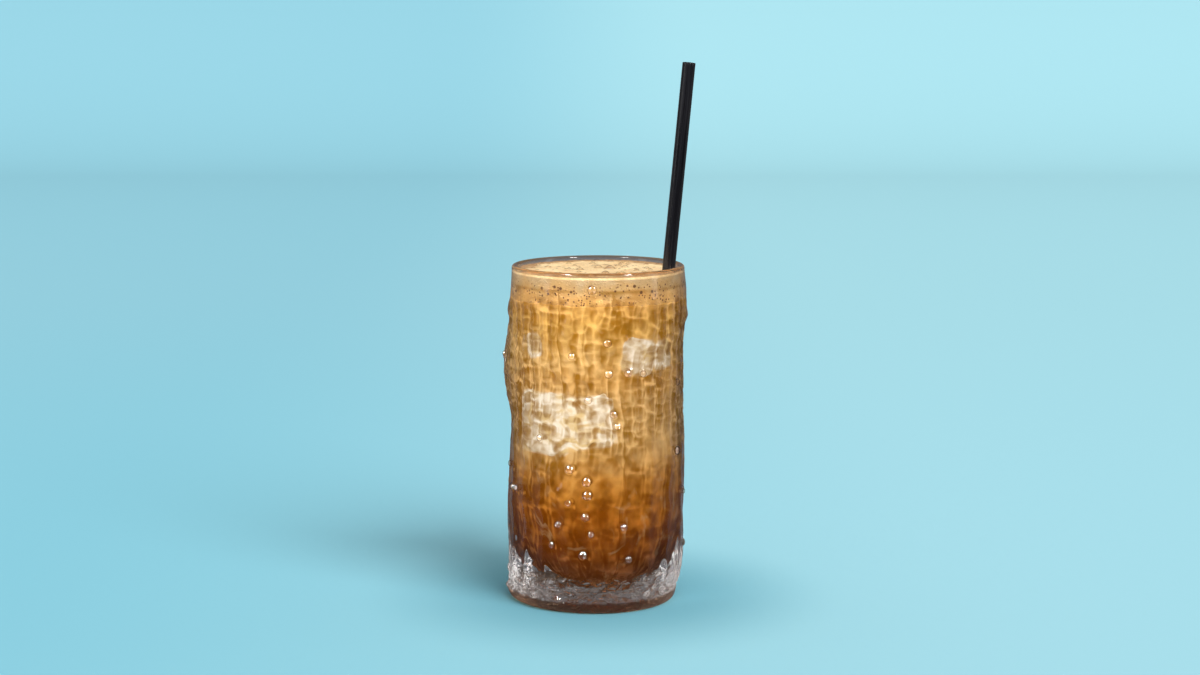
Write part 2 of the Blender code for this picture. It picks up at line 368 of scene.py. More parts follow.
    @staticmethod
    def _hollows(
        across: np.ndarray, along: np.ndarray, columns: int, rung: float
    ) -> tuple[np.ndarray, np.ndarray]:
        """Depth share and tone of a net of staggered hollows.

        Args:
            across: Places counted in columns.
            along: Places counted in rows.
            columns: How many columns go round.
            rung: How strongly the rows part.

        Returns:
            The share of the full depth, and the tone.
        """
        column0 = np.floor(across)
        nearest = np.full_like(across, 4.0)
        share = np.zeros_like(across)
        tone = np.zeros_like(across)
        for sideways in (-1, 0, 1):
            column = column0 + sideways
            own = np.mod(column, columns)
            stagger = 0.5 * np.mod(own, 2) + 0.5 * chance(own, 0, 1)
            first = np.floor(along - stagger)
            for upward in (-1, 0, 1):
                row = first + upward
                aside = 0.24 * (chance(own, 7, 9) - 0.5) + 0.16 * (chance(own, row, 3) - 0.5)
                middle_across = column + 0.5 + aside
                middle_along = row + 0.5 + stagger + 0.5 * (chance(own, row, 4) - 0.5)
                away = 4.0 * (across - middle_across) ** 2 + rung * (along - middle_along) ** 2
                closer = away < nearest
                nearest = np.where(closer, away, nearest)
                deep = 0.6 + 0.4 * chance(own, row, 6) + 0.35 * chance(own, 2, 13)
                share = np.where(closer, deep, share)
                own_tone = 1.25 * (chance(own, row, 14) - 0.5) + 0.75 * (chance(own, 3, 15) - 0.5)
                tone = np.where(closer, own_tone, tone)
        return np.maximum(0.0, 1 - nearest) * share, tone

    def depth(self, azimuth: np.ndarray, height: np.ndarray) -> np.ndarray:
        """Depth of the bark's hollows below the tops of its ridges.

        Args:
            azimuth: Angles round the axis, in radians.
            height: Heights above the underside.

        Returns:
            The depth, 0 on a ridge.
        """
        hollow = self.cells(azimuth, height)[0] * self.hollow_depth
        ripple = self.ripple_depth * Unevenness(120, 2.3 * MM, 31).at(azimuth, height)
        rough = self.broad_chaos * Unevenness(70, 2.4 * MM, 33).at(azimuth, height)
        rough = rough + self.fine_chaos * Unevenness(130, 1.3 * MM, 34).at(azimuth, height)
        low = smooth((self.base_chaos_top - height) / (5 * MM)) * smooth((height - 3 * MM) / (2 * MM))
        column = np.mod(np.floor(self.flutes(azimuth, height)), self.columns)
        return (hollow + ripple) * self.strength(column, azimuth, height) + low * rough

    def pearls(self) -> list[tuple[float, float, float]]:
        """Azimuth, height and radius of each small drop of glass, those on the far side by chance.

        Returns:
            Three numbers for each drop, the angle in radians.
        """
        found = []
        for pearl in FRONT_PEARLS:
            azimuth = -math.acos(pearl.across / self.pearl_ring)
            found.append((azimuth, pearl.height, pearl.radius))
        draw = np.random.RandomState(self.seed)
        for _ in range(self.wild_pearls):
            azimuth = math.radians(draw.uniform(-28, 208))
            height = draw.uniform(14, 122) * MM
            found.append((azimuth, height, draw.uniform(1.1, 1.9) * MM))
        return found

    def radius(self, azimuth: np.ndarray, height: np.ndarray) -> np.ndarray:
        """Radius of the finished outside.

        Args:
            azimuth: Angles round the axis, in radians.
            height: Heights above the underside, from the heel to the rim.

        Returns:
            The radius with swells, bark and pearls.
        """
        azimuth, height = np.broadcast_arrays(azimuth, height)
        plain = self.outline_radius(height) + self.swelling(azimuth, height)
        radius = plain - self.depth(azimuth, height)
        for middle, level, size in self.pearls():
            near = np.abs(height - level) < size
            turn = np.mod(azimuth[near] - middle + math.pi, TURN) - math.pi
            away = ((turn * self.mean_radius) ** 2 + (height[near] - level) ** 2) / size**2
            radius[near] += self.pearl_rise * size * np.sqrt(np.maximum(0.0, 1 - away))
        return np.minimum(radius, plain + self.most_proud)


@dataclass(frozen=True)
class Cavity:
    """The smooth inside of the glass, with its round bottom."""

    mouth_radius: float = 34.3 * MM
    waist_radius: float = 33.2 * MM
    waist_height: float = 70 * MM
    bowl_radius: float = 30 * MM
    bowl_depth: float = 34 * MM
    bowl_wall_radius: float = 32.2 * MM
    floor_height: float = 8 * MM
    glass_height: float = 145 * MM

    @property
    def bowl_height(self) -> float:
        """Where the round bottom meets the wall."""
        return self.floor_height + self.bowl_depth

    def wall_radius(self, height: np.ndarray) -> np.ndarray:
        """Inside radius at some heights, down into the round bottom.

        Args:
            height: Heights above the underside, from the floor up.

        Returns:
            The radius of the inside.
        """
        height = np.asarray(height, float)
        low = (height - self.bowl_height) / (self.waist_height - self.bowl_height)
        high = (height - self.waist_height) / (self.glass_height - self.waist_height)
        wall = np.where(
            height < self.waist_height,
            self.bowl_wall_radius + (self.waist_radius - self.bowl_wall_radius) * low,
            self.waist_radius + (self.mouth_radius - self.waist_radius) * high,
        )
        sunk = np.clip((self.bowl_height - height) / self.bowl_depth, 0.0, 1.0)
        flat = self.bowl_wall_radius - self.bowl_radius
        bowl = flat + self.bowl_radius * np.sqrt(1 - sunk * sunk)
        return np.where(height < self.bowl_height, bowl, wall)

    def bowl_profile(self, grow: float, parts: int) -> list[tuple[float, float]]:
        """Points of the round bottom from the wall down to the edge of the flat floor.

        Args:
            grow: How far outward of the inside the points lie.
            parts: Number of steps.

        Returns:
            Radius and height of each point.
        """
        flat = self.bowl_wall_radius - self.bowl_radius
        across, down = self.bowl_radius + grow, self.bowl_depth + grow
        turns = [-0.5 * math.pi * i / parts for i in range(1, parts + 1)]
        return [(flat + across * math.cos(t), self.bowl_height + down * math.sin(t)) for t in turns]


def turned_mesh(name: str, grid: np.ndarray, poles: tuple[Vector, Vector] | None) -> bpy.types.Object:
    """A closed turned body from rows of points, outside first and from the top down.

    Args:
        name: Name of the new object.
        grid: Points as an array of rows, steps and coordinates.
        poles: The points that close the first and the last row, or None where the rows form a tube.

    Returns:
        The new object, smooth shaded and linked to the scene.
    """
    rows, steps, _ = grid.shape
    points = grid.reshape(-1, 3)
    here = np.arange(steps)
    there = (here + 1) % steps
    row = np.arange(rows if poles is None else rows - 1)[:, None] * steps
    below = (row + steps) % (rows * steps)
    quads = np.stack([row + here, below + here, below + there, row + there], axis=-1).reshape(-1, 4)
    loops = quads.ravel()
    sizes = np.full(len(quads), 4)
    if poles is not None:
        last_row = (rows - 1) * steps
        points = np.concatenate([points, [poles[0][:], poles[1][:]]])
        top = np.stack([np.full(steps, rows * steps), here, there], axis=-1)
        bottom = np.stack([np.full(steps, rows * steps + 1), last_row + there, last_row + here], axis=-1)
        loops = np.concatenate([loops, top.ravel(), bottom.ravel()])
        sizes = np.concatenate([sizes, np.full(2 * steps, 3)])
    starts = np.concatenate([[0], np.cumsum(sizes)[:-1]])
    mesh = bpy.data.meshes.new(name)
    mesh.vertices.add(len(points))
    mesh.vertices.foreach_set("co", points.astype(np.float32).ravel())
    mesh.loops.add(len(loops))
    mesh.loops.foreach_set("vertex_index", loops.astype(np.int32))
    mesh.polygons.add(len(sizes))
    mesh.polygons.foreach_set("loop_start", starts.astype(np.int32))
    mesh.update(calc_edges=True)
    mesh.validate()
    mesh.shade_smooth()
    piece = bpy.data.objects.new(name, mesh)
    bpy.context.scene.collection.objects.link(piece)
    return piece


def turned_points(radius: np.ndarray, azimuth: np.ndarray, height: np.ndarray) -> np.ndarray:
    """Points in space from radius, azimuth and height arrays of one shape."""
    return np.stack([radius * np.cos(azimuth), radius * np.sin(azimuth), height], axis=-1)


def piece_from(name: str, made: bmesh.types.BMesh) -> bpy.types.Object:
    """A smooth shaded object from a bmesh, which is freed.

    Args:
        name: Name of the new object.
        made: Its shape.

    Returns:
        The new object, linked to the scene.
    """
    mesh = bpy.data.meshes.new(name)
    made.to_mesh(mesh)
    made.free()
    mesh.shade_smooth()
    piece = bpy.data.objects.new(name, mesh)
    bpy.context.scene.collection.objects.link(piece)
    return piece


def points_of(piece: bpy.types.Object) -> np.ndarray:
    """The points of a piece's mesh, as an array of coordinates.

    Args:
        piece: The object.

    Returns:
        A row of x, y and z for each point.
    """
    flat = np.empty(len(piece.data.vertices) * 3, np.float32)
    piece.data.vertices.foreach_get("co", flat)
    return flat.reshape(-1, 3).astype(float)


def give_values(piece: bpy.types.Object, name: str, values: np.ndarray) -> None:
    """Stores one number for each point of a piece, for its material to read.

    Args:
        piece: The object.
        name: Name that the material reads.
        values: A number for each point.
    """
    layer = piece.data.attributes.new(name, "FLOAT", "POINT")
    layer.data.foreach_set("value", np.asarray(values, np.float32))


def cut_with(piece: bpy.types.Object, cutter: bpy.types.Object) -> None:
    """Cuts one piece with another and removes the cutter.

    Args:
        piece: The object that is cut.
        cutter: The closed object that is taken away.
    """
    cut = piece.modifiers.new("Cut", "BOOLEAN")
    cut.operation = "DIFFERENCE"
    cut.solver = "MANIFOLD"
    cut.object = cutter
    graph = bpy.context.evaluated_depsgraph_get()
    mesh = bpy.data.meshes.new_from_object(piece.evaluated_get(graph))
    piece.modifiers.clear()
    piece.data = mesh
    bpy.data.objects.remove(cutter, do_unlink=True)


class Finish:
    """A material under construction: its node tree, and short ways to add nodes to it."""

    def __init__(self, name: str) -> None:
        """Starts a material that holds a lone Principled shader.

        Args:
            name: Name of the material.
        """
        self.material = bpy.data.materials.new(name)
        self.material.use_nodes = True
        self.tree = self.material.node_tree
        self.shader = self.tree.nodes["Principled BSDF"]
        self.output = self.tree.nodes["Material Output"]

    def set(self, **values: object) -> None:
        """Sets the shader's own sockets, named with underscores for spaces."""
        for name, value in values.items():
            self.shader.inputs[name.replace("_", " ")].default_value = value

    def link(self, source: bpy.types.NodeSocket, target: bpy.types.NodeSocket) -> None:
        """Joins two sockets."""
        self.tree.links.new(source, target)

    def attribute(self, name: str) -> bpy.types.NodeSocket:
        """The number stored at each point under a name.

        Args:
            name: The name that it was stored under.

        Returns:
            The number.
        """
        node = self.tree.nodes.new("ShaderNodeAttribute")
        node.attribute_name = name
        return node.outputs["Fac"]

    def place(self) -> bpy.types.NodeSocket:
        """The place on the piece, in its own metres."""
        return self.tree.nodes.new("ShaderNodeTexCoord").outputs["Object"]

    def height(self) -> bpy.types.NodeSocket:
        """Height above the underside, in metres.

        Returns:
            The height.
        """
        node = self.tree.nodes.new("ShaderNodeSeparateXYZ")
        self.link(self.place(), node.inputs[0])
        return node.outputs["Z"]

    def stretched(self, scale: tuple[float, float, float]) -> bpy.types.NodeSocket:
        """The place on the piece, times a scale for each axis.

        Args:
            scale: The factor for each axis.

        Returns:
            The scaled place.
        """
        node = self.tree.nodes.new("ShaderNodeMapping")
        node.inputs["Scale"].default_value = scale
        self.link(self.place(), node.inputs["Vector"])
        return node.outputs["Vector"]

    def noise(
        self, scale: tuple[float, float, float], detail: float = 2.0, warp: float = 0.0
    ) -> bpy.types.NodeSocket:
        """Cloudy noise from 0 to 1.

        Args:
            scale: Clouds for each metre, along each axis.
            detail: Octaves of finer noise.
            warp: How much the clouds are swirled.

        Returns:
            The noise.
        """
        node = self.tree.nodes.new("ShaderNodeTexNoise")
        node.inputs["Scale"].default_value = 1.0
        node.inputs["Detail"].default_value = detail
        node.inputs["Distortion"].default_value = warp
        self.link(self.stretched(scale), node.inputs["Vector"])
        return node.outputs["Fac"]

    def spots(self, per_metre: float) -> tuple[bpy.types.NodeSocket, bpy.types.NodeSocket]:
        """Distance to the nearest of scattered points, and a random number for each point.

        Args:
            per_metre: How many points lie along a metre.

        Returns:
            The distance in cells, and the point's own number.
        """
        node = self.tree.nodes.new("ShaderNodeTexVoronoi")
        node.inputs["Scale"].default_value = per_metre
        self.link(self.place(), node.inputs["Vector"])
        split = self.tree.nodes.new("ShaderNodeSeparateColor")
        self.link(node.outputs["Color"], split.inputs[0])
        return node.outputs["Distance"], split.outputs[0]

    def calc(self, kind: str, *terms: object) -> bpy.types.NodeSocket:
        """One Math node.

        Args:
            kind: Blender's name of the operation.
            terms: Sockets or plain numbers.

        Returns:
            The result.
        """
        node = self.tree.nodes.new("ShaderNodeMath")
        node.operation = kind
        for number, term in enumerate(terms):
            if isinstance(term, (int, float)):
                node.inputs[number].default_value = term
            else:
                self.link(term, node.inputs[number])
        return node.outputs[0]

    def fit(
        self, value: bpy.types.NodeSocket, low: float, high: float, start: float = 0.0, end: float = 1.0
    ) -> bpy.types.NodeSocket:
        """A value eased from one range to another, and held at the ends.

        Args:
            value: What is fitted.
            low: Where the rise begins.
            high: Where it ends.
            start: The result at low.
            end: The result at high.

        Returns:
            The fitted value.
        """
        node = self.tree.nodes.new("ShaderNodeMapRange")
        node.interpolation_type = "SMOOTHSTEP"
        node.inputs["From Min"].default_value = low
        node.inputs["From Max"].default_value = high
        node.inputs["To Min"].default_value = start
        node.inputs["To Max"].default_value = end
        self.link(value, node.inputs["Value"])
        return node.outputs["Result"]

    def blend(self, share: object, first: object, second: object) -> bpy.types.NodeSocket:
        """Two colours mixed.

        Args:
            share: How much of the second, a socket or a number.
            first: A Colour or a socket.
            second: A Colour or a socket.

        Returns:
            The mixed colour.
        """
        node = self.tree.nodes.new("ShaderNodeMix")
        node.data_type = "RGBA"
        for socket, value in zip((node.inputs[0], node.inputs[6], node.inputs[7]), (share, first, second)):
            if isinstance(value, Colour):
                socket.default_value = value.linear()
            elif isinstance(value, (int, float)):
                socket.default_value = value
            else:
                self.link(value, socket)
        return node.outputs[2]

    def lit(self, colour: bpy.types.NodeSocket, amount: bpy.types.NodeSocket) -> bpy.types.NodeSocket:
        """A colour made brighter or darker by a number.

        Args:
            colour: The colour.
            amount: What it is multiplied by.

        Returns:
            The new colour.
        """
        node = self.tree.nodes.new("ShaderNodeVectorMath")
        node.operation = "SCALE"
        self.link(colour, node.inputs[0])
        self.link(amount, node.inputs["Scale"])
        return node.outputs[0]

    def ramp(self, value: bpy.types.NodeSocket, stops: list[tuple[float, Colour]]) -> bpy.types.NodeSocket:
        """A run of colours.

        Args:
            value: Place on the run, from 0 to 1.
            stops: Place and colour of each stop.

        Returns:
            The colour.
        """
        node = self.tree.nodes.new("ShaderNodeValToRGB")
        elements = node.color_ramp.elements
        elements[0].position, elements[0].color = stops[0][0], stops[0][1].linear()
        elements[1].position, elements[1].color = stops[-1][0], stops[-1][1].linear()
        for position, colour in stops[1:-1]:
            elements.new(position).color = colour.linear()
        self.link(value, node.inputs["Fac"])
        return node.outputs["Color"]

    def bump(self, height: bpy.types.NodeSocket, distance: float, strength: float = 1.0) -> None:
        """Gives the shader a fine relief.

        Args:
            height: The relief, from 0 to 1.
            distance: Its depth in metres.
            strength: How much of it shows.
        """
        node = self.tree.nodes.new("ShaderNodeBump")
        node.inputs["Distance"].default_value = distance
        node.inputs["Strength"].default_value = strength
        self.link(height, node.inputs["Height"])
        self.link(node.outputs["Normal"], self.shader.inputs["Normal"])

    def colour(self, source: bpy.types.NodeSocket) -> None:
        """Gives the shader its base colour."""
        self.link(source, self.shader.inputs["Base Color"])


def on_part(piece: bpy.types.Object, slot: Slot, finish: Finish, *nodes: str) -> bpy.types.Object:
    """Dresses a piece, ties it to the part's one body, and reports it.

    Args:
        piece: The object.
        slot: The material slot that it belongs to, which is not used.
        finish: Its material.
        nodes: The solids that it stands for.

    Returns:
        The same object.
    """
    piece.data.materials.clear()
    piece.data.materials.append(finish.material)
    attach(piece, BODY)
    if nodes:
        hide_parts(*nodes)
    log.info("%s: %d faces", piece.name, len(piece.data.polygons))
    return piece


@dataclass(frozen=True)
class Beam:
    """Light that reaches the glass from one side, by its angles from straight outward."""

    turn: float
    rise: float
    share: float


@dataclass
class Focus:
    """Painted light and shade for the drink's colour: the light that the bark gathers along its ridges and
    throws on the drink behind it.
    """

    bark: Bark
    cavity: Cavity
    across_cells: int = 1320
    up_cells: int = 760
    low: float = 8 * MM
    high: float = 138 * MM
    beams: tuple[Beam, ...] = (Beam(-24, 32, 0.6), Beam(22, 26, 0.4))
    bending: float = 1.5
    densest: float = 2.4
    thinnest: float = 0.3
    bark_softening: int = 4
    beam_softening: int = 9
    tone_softening: int = 12
    net_gain: float = 1.15
    tone_gain: float = 0.45
    broad_mottle: float = 0.42
    fine_mottle: float = 0.30
    from_left: float = 0.55
    from_above: float = 0.65
    step_shade_depth: float = 0.6
    across_share: float = 0.75
    up_share: float = 1.35
    pearl_shade: float = 0.5
    net: np.ndarray = field(init=False)

    def __post_init__(self) -> None:
        """Throws the beams through the bark and paints the light they leave, then adds painted slant
        shading, the tones of its cells, and the painted shade and highlights of its sharp steps and pearls.
        """
        azimuth = (np.arange(self.across_cells) + 0.5) / self.across_cells * TURN
        height = self.low + (np.arange(self.up_cells) + 0.5) / self.up_cells * (self.high - self.low)
        azimuth, height = np.meshgrid(azimuth, height)
        radius = self._softened(self.bark.radius(azimuth, height), self.bark_softening)
        step_up = (self.high - self.low) / self.up_cells
        step_across = TURN / self.across_cells * radius
        up = np.gradient(radius, axis=0) / step_up
        across = (np.roll(radius, -1, axis=1) - np.roll(radius, 1, axis=1)) / (2 * step_across)
        wall = radius - self.cavity.wall_radius(height)
        slopes = (self.across_share * across, self.up_share * up)
        steps = (step_across, step_up)
        thrown = sum(beam.share * self._thrown(beam, *slopes, wall, *steps) for beam in self.beams)
        thrown = np.clip(self._softened(thrown, self.beam_softening), self.thinnest, self.densest)
        # painted shading: slopes that face left and up are painted lighter, the others darker
        painted_slant_shading = self.from_left * np.clip(across, -1, 1) - self.from_above * np.clip(up, -1, 1)
        patches = 0.8 + 0.5 * Unevenness(22, 19 * MM, 51).at(azimuth, height)
        broad = 0.12 * Unevenness(15, 31 * MM, 52).at(azimuth, height)
        tones = self.bark.cells(azimuth, height)[1]
        tone = self.tone_gain * self._softened(tones, self.tone_softening)
        mottle = self.broad_mottle * Unevenness(46, 5.5 * MM, 53).at(azimuth, height)
        mottle = mottle + self.fine_mottle * Unevenness(84, 2.9 * MM, 54).at(azimuth, height)
        mottle = mottle * (0.25 + 0.75 * smooth((84 * MM - height) / (20 * MM)))
        # the painted light and shade that is stored on the drink for its colour
        lit = 1 + self.net_gain * patches * (thrown - 1) + painted_slant_shading + broad + tone + mottle
        lit = lit * self._painted_step_shade(azimuth, height) * self._painted_pearl_shade(azimuth, height)
        self.net = self._softened(np.maximum(0.1, lit), 1)

    def _thrown(
        self,
        beam: Beam,
        across: np.ndarray,
        up: np.ndarray,
        wall: np.ndarray,
        step_across: np.ndarray,
        step_up: float,
    ) -> np.ndarray:
        """How densely one beam lands on the drink, 1 on average.

        Args:
            beam: The beam.
            across: Slope of the outside, to the right.
            up: Slope of the outside, upward.
            wall: Thickness of the glass.
            step_across: Width of the net's cells.
            step_up: Height of the net's cells.

        Returns:
            The density, cell by cell.
        """
        turn, rise = math.radians(beam.turn), math.radians(beam.rise)
        lamp = (math.cos(rise) * math.cos(turn), math.cos(rise) * math.sin(turn), math.sin(rise))
        long = np.sqrt(1 + across**2 + up**2)
        facing = np.maximum(0.05, (lamp[0] - lamp[1] * across - lamp[2] * up) / long)
        bend = facing / self.bending - np.sqrt(1 - (1 - facing**2) / self.bending**2)
        inward = -lamp[0] / self.bending + bend / long
        sideways = -lamp[1] / self.bending - bend * across / long
        upward = -lamp[2] / self.bending - bend * up / long
        rows, columns = across.shape
        row, column = np.mgrid[0:rows, 0:columns].astype(float)
        row = np.clip(row - wall * upward / inward / step_up, 0, rows - 1.001)
        column = np.mod(column - wall * sideways / inward / step_across, columns)
        under, left = np.floor(row).astype(int), np.floor(column).astype(int)
        total = np.zeros(rows * columns)
        for over in (0, 1):
            for right in (0, 1):
                weight = facing * long
                weight = weight * ((row - under) if over else (1 - row + under))
                weight = weight * ((column - left) if right else (1 - column + left))
                place = (under + over) * columns + np.mod(left + right, columns)
                total += np.bincount(place.ravel(), weight.ravel(), rows * columns)
        return (total / total.mean()).reshape(rows, columns)

    def _painted_pearl_shade(self, azimuth: np.ndarray, height: np.ndarray) -> np.ndarray:
        """The painted shade ring and painted light middle that each pearl of glass shows behind it.

        Args:
            azimuth: Angles round the axis, in radians.
            height: Heights above the underside.

        Returns:
            The brightness that they leave, 1 away from them.
        """
        left = np.ones_like(azimuth)
        for middle, level, size in self.bark.pearls():
            near = np.abs(height - level) < 2 * size
            turn = np.mod(azimuth[near] - middle + math.pi, TURN) - math.pi
            across = turn * self.bark.mean_radius / size
            rise = (height[near] - level) / size
            away = np.hypot(across, rise)
            # painted shade in a ring round each pearl, and painted light low in its middle
            ring = np.exp(-(((away - 0.85) / 0.28) ** 2))
            low = np.exp(-(((away - 0.35) / 0.3) ** 2)) * (0.5 - 0.5 * np.clip(rise / 0.35, -1, 1))
            left[near] *= 1 - self.pearl_shade * ring + 0.35 * low
        return left

    def _painted_step_shade(self, azimuth: np.ndarray, height: np.ndarray) -> np.ndarray:
        """Painted shade along the edges where one flute stands proud of the next, each with a painted
        highlight line on its left.

        Args:
            azimuth: Angles round the axis, in radians.
            height: Heights above the underside.

        Returns:
            The brightness that they leave, 1 away from them.
        """
        place = self.bark.flutes(azimuth, height)
        ridge = np.round(place)
        own = np.mod(ridge, self.bark.columns)
        aside = place - ridge
        along = lattice(own * 7.3, height / (38 * MM), 61)
        shown = smooth((chance(own, 4, 16) - 0.4) / 0.2) * smooth((along + 0.25) / 0.3)
        shown = shown * (1 - self.bark.merging(azimuth, height) * np.mod(own, 2))
        # painted shade beside each step, and a painted highlight line on its left
        dark = np.where(aside > 0, np.exp(-aside / 0.13), np.exp(-((aside / 0.03) ** 2)))
        light = np.exp(-(((aside + 0.09) / 0.05) ** 2))
        return 1 + shown * (0.35 * light - self.step_shade_depth * dark)

    @staticmethod
    def _softened(net: np.ndarray, times: int) -> np.ndarray:
        """The net with each cell averaged with those beside it, some times over.

        Args:
            net: Values in rows up the glass and columns round it.
            times: How often they are averaged.

        Returns:
            The softer net.
        """
        for _ in range(times):
            net = (np.roll(net, 1, axis=1) + net + np.roll(net, -1, axis=1)) / 3
            padded = np.pad(net, ((1, 1), (0, 0)), mode="edge")
            net = (padded[:-2] + padded[1:-1] + padded[2:]) / 3
        return net

    def at(self, points: np.ndarray) -> np.ndarray:
        """How bright the net is at points on the drink, 1 on average.

        Args:
            points: Places as rows of x, y and z.

        Returns:
            The brightness, 1 out of the net's reach.
        """
        azimuth = np.mod(np.arctan2(points[:, 1], points[:, 0]), TURN)
        column = azimuth / TURN * self.across_cells - 0.5
        row = (points[:, 2] - self.low) / (self.high - self.low) * self.up_cells - 0.5
        reach = smooth((points[:, 2] - self.low) / (2 * MM)) * smooth((self.high - points[:, 2]) / (2 * MM))
        row = np.clip(row, 0, self.up_cells - 1.001)
        left = np.floor(column).astype(int)
        under = np.floor(row).astype(int)
        share_right = column - left
        share_over = row - under
        value = 0.0
        for right in (0, 1):
            for over in (0, 1):
                weight = (share_right if right else 1 - share_right)
                weight = weight * (share_over if over else 1 - share_over)
                value = value + weight * self.net[under + over, np.mod(left + right, self.across_cells)]
        return 1 + (value - 1) * reach


@dataclass
class Tumbler:
    """The glass itself: bark outside, smooth inside, a round rim and a flat base."""

    bark: Bark
    cavity: Cavity
    steps_a_column: int = 10
    relief_rows: int = 184
    rim_round: float = 1.2 * MM
    heel_depth: float = 2.2 * MM
    heel_height: float = 4.2 * MM
    foot_hollow: float = 2.5 * MM

    def build(self) -> bpy.types.Object:
        """Makes the glass and dresses it.

        Returns:
            The glass.
        """
        grid = np.concatenate([self._inside(), self._outside(), self._underside()])
        poles = (Vector((0, 0, self.cavity.floor_height)), Vector((0, 0, self.foot_hollow)))
        return on_part(turned_mesh("glass_body", grid, poles), Slot.GLASS, self._finish(), "glass")

    def _azimuths(self, height: np.ndarray) -> np.ndarray:
        """Angles of the points of each row, which follow the wandering flutes.

        Args:
            height: The height of each row.

        Returns:
            A row of angles for each height.
        """
        count = self.bark.columns * self.steps_a_column
        step = np.arange(count) / self.steps_a_column
        column_turn = TURN / self.bark.columns
        azimuth = np.broadcast_to(step * column_turn, (len(height), count)).copy()
        level = height[:, None]
        for _ in range(4):
            azimuth = (step - self.bark.wander(azimuth, level)) * column_turn
        return azimuth

    def _outside(self) -> np.ndarray:
        """Rows from the inner edge of the rim, over it and down the bark to the heel's foot.

        Returns:
            Points as rows, steps and coordinates.
        """
        lip = float(self.bark.outline_radius(np.array(self.bark.height)))
        turns = np.radians(np.linspace(90, 0, 7))
        rim_radius = lip - self.rim_round + self.rim_round * np.cos(turns)
        rim_height = self.bark.height - self.rim_round + self.rim_round * np.sin(turns)
        wall_height = np.concatenate(
            [
                np.linspace(rim_height[-1], self.bark.top + 6 * MM, 9)[1:],
                np.linspace(self.bark.top + 6 * MM, self.heel_height, self.relief_rows)[1:],
            ]
        )
        wall_azimuth = self._azimuths(wall_height)
        wall_radius = self.bark.radius(wall_azimuth, wall_height[:, None])
        wall = turned_points(wall_radius, wall_azimuth, wall_height[:, None] + 0 * wall_azimuth)
        rim_azimuth = self._azimuths(rim_height)
        rim_swell = self.bark.swelling(rim_azimuth, rim_height[:, None])
        rim = turned_points(
            rim_radius[:, None] + rim_swell, rim_azimuth, rim_height[:, None] + 0 * rim_azimuth
        )
        return np.concatenate([rim, wall])

    def _underside(self) -> np.ndarray:
        """Rows round the heel and onto the flat base.

        Returns:
            Points as rows, steps and coordinates.
        """
        turns = np.radians(np.linspace(0, -90, 9))[1:]
        foot = float(self.bark.outline_radius(np.array(self.heel_height))) - self.heel_depth
        across = np.array([0.95, 0.9, 0.82, 0.74, 0.66, 0.58, 0.5, 0.42, 0.34, 0.26, 0.18, 0.1])
        radius = np.concatenate([foot + self.heel_depth * np.cos(turns), foot * across])
        hollow = self.foot_hollow * np.maximum(0.0, 1 - (across / 0.92) ** 2)
        height = np.concatenate([self.heel_height * (1 + np.sin(turns)), hollow])
        azimuth = self._azimuths(height)
        share = radius[:, None] / foot
        swell = self.bark.swelling(azimuth, height[:, None]) * np.minimum(share, 1.06)
        return turned_points(radius[:, None] + swell, azimuth, height[:, None] + 0 * azimuth)

    def _inside(self) -> np.ndarray:
        """Rows up the inside, from the edge of its flat floor to the top of the rim.

        Returns:
            Points as rows, steps and coordinates.
        """
        edge = self.cavity.mouth_radius + self.rim_round
        lift = self.bark.height - self.rim_round
        turns = np.radians(np.linspace(180, 90, 6))[:-1]
        rim = [(edge + self.rim_round * math.cos(t), lift + self.rim_round * math.sin(t)) for t in turns]
        heights = np.linspace(self.cavity.bowl_height, lift, 14)[:-1]
        wall = [(float(self.cavity.wall_radius(height)), float(height)) for height in heights]
        bowl = self.cavity.bowl_profile(0.0, 12)[::-1]
        profile = np.array([*bowl, *wall, *rim])
        azimuth = self._azimuths(profile[:, 1])
        return turned_points(profile[:, :1] + 0 * azimuth, azimuth, profile[:, 1:] + 0 * azimuth)

    def _finish(self) -> Finish:
        """Clear glass with a faint orange peel, crumpled near the foot, and painted brown at the lip and
        heel for the foam and drink that show in them.

        Returns:
            The material.
        """
        finish = Finish("clear_pressed_glass")
        finish.set(Roughness=0.02, IOR=1.5, Transmission_Weight=1.0)
        # painted reflection: the heel and the lip are painted brown where they show the drink and the foam
        heel = finish.fit(finish.height(), 5.6 * MM, 4.2 * MM)
        lip = finish.fit(finish.height(), 143.6 * MM, 144.4 * MM)
        body = finish.blend(lip, Colour(252, 253, 253), Colour(212, 180, 150))
        finish.colour(finish.blend(heel, body, Colour(112, 68, 40)))
        skin = finish.noise((420, 420, 300), 3.0)
        crumpled = finish.noise((200, 200, 270), 1.0, 2.2)
        low = finish.fit(finish.height(), 19 * MM, 11 * MM)
        crumpled = finish.calc("MULTIPLY", crumpled, low)
        finish.bump(finish.calc("ADD", finish.calc("MULTIPLY", skin, 0.05), crumpled), 0.75 * MM, 1.0)
        return finish


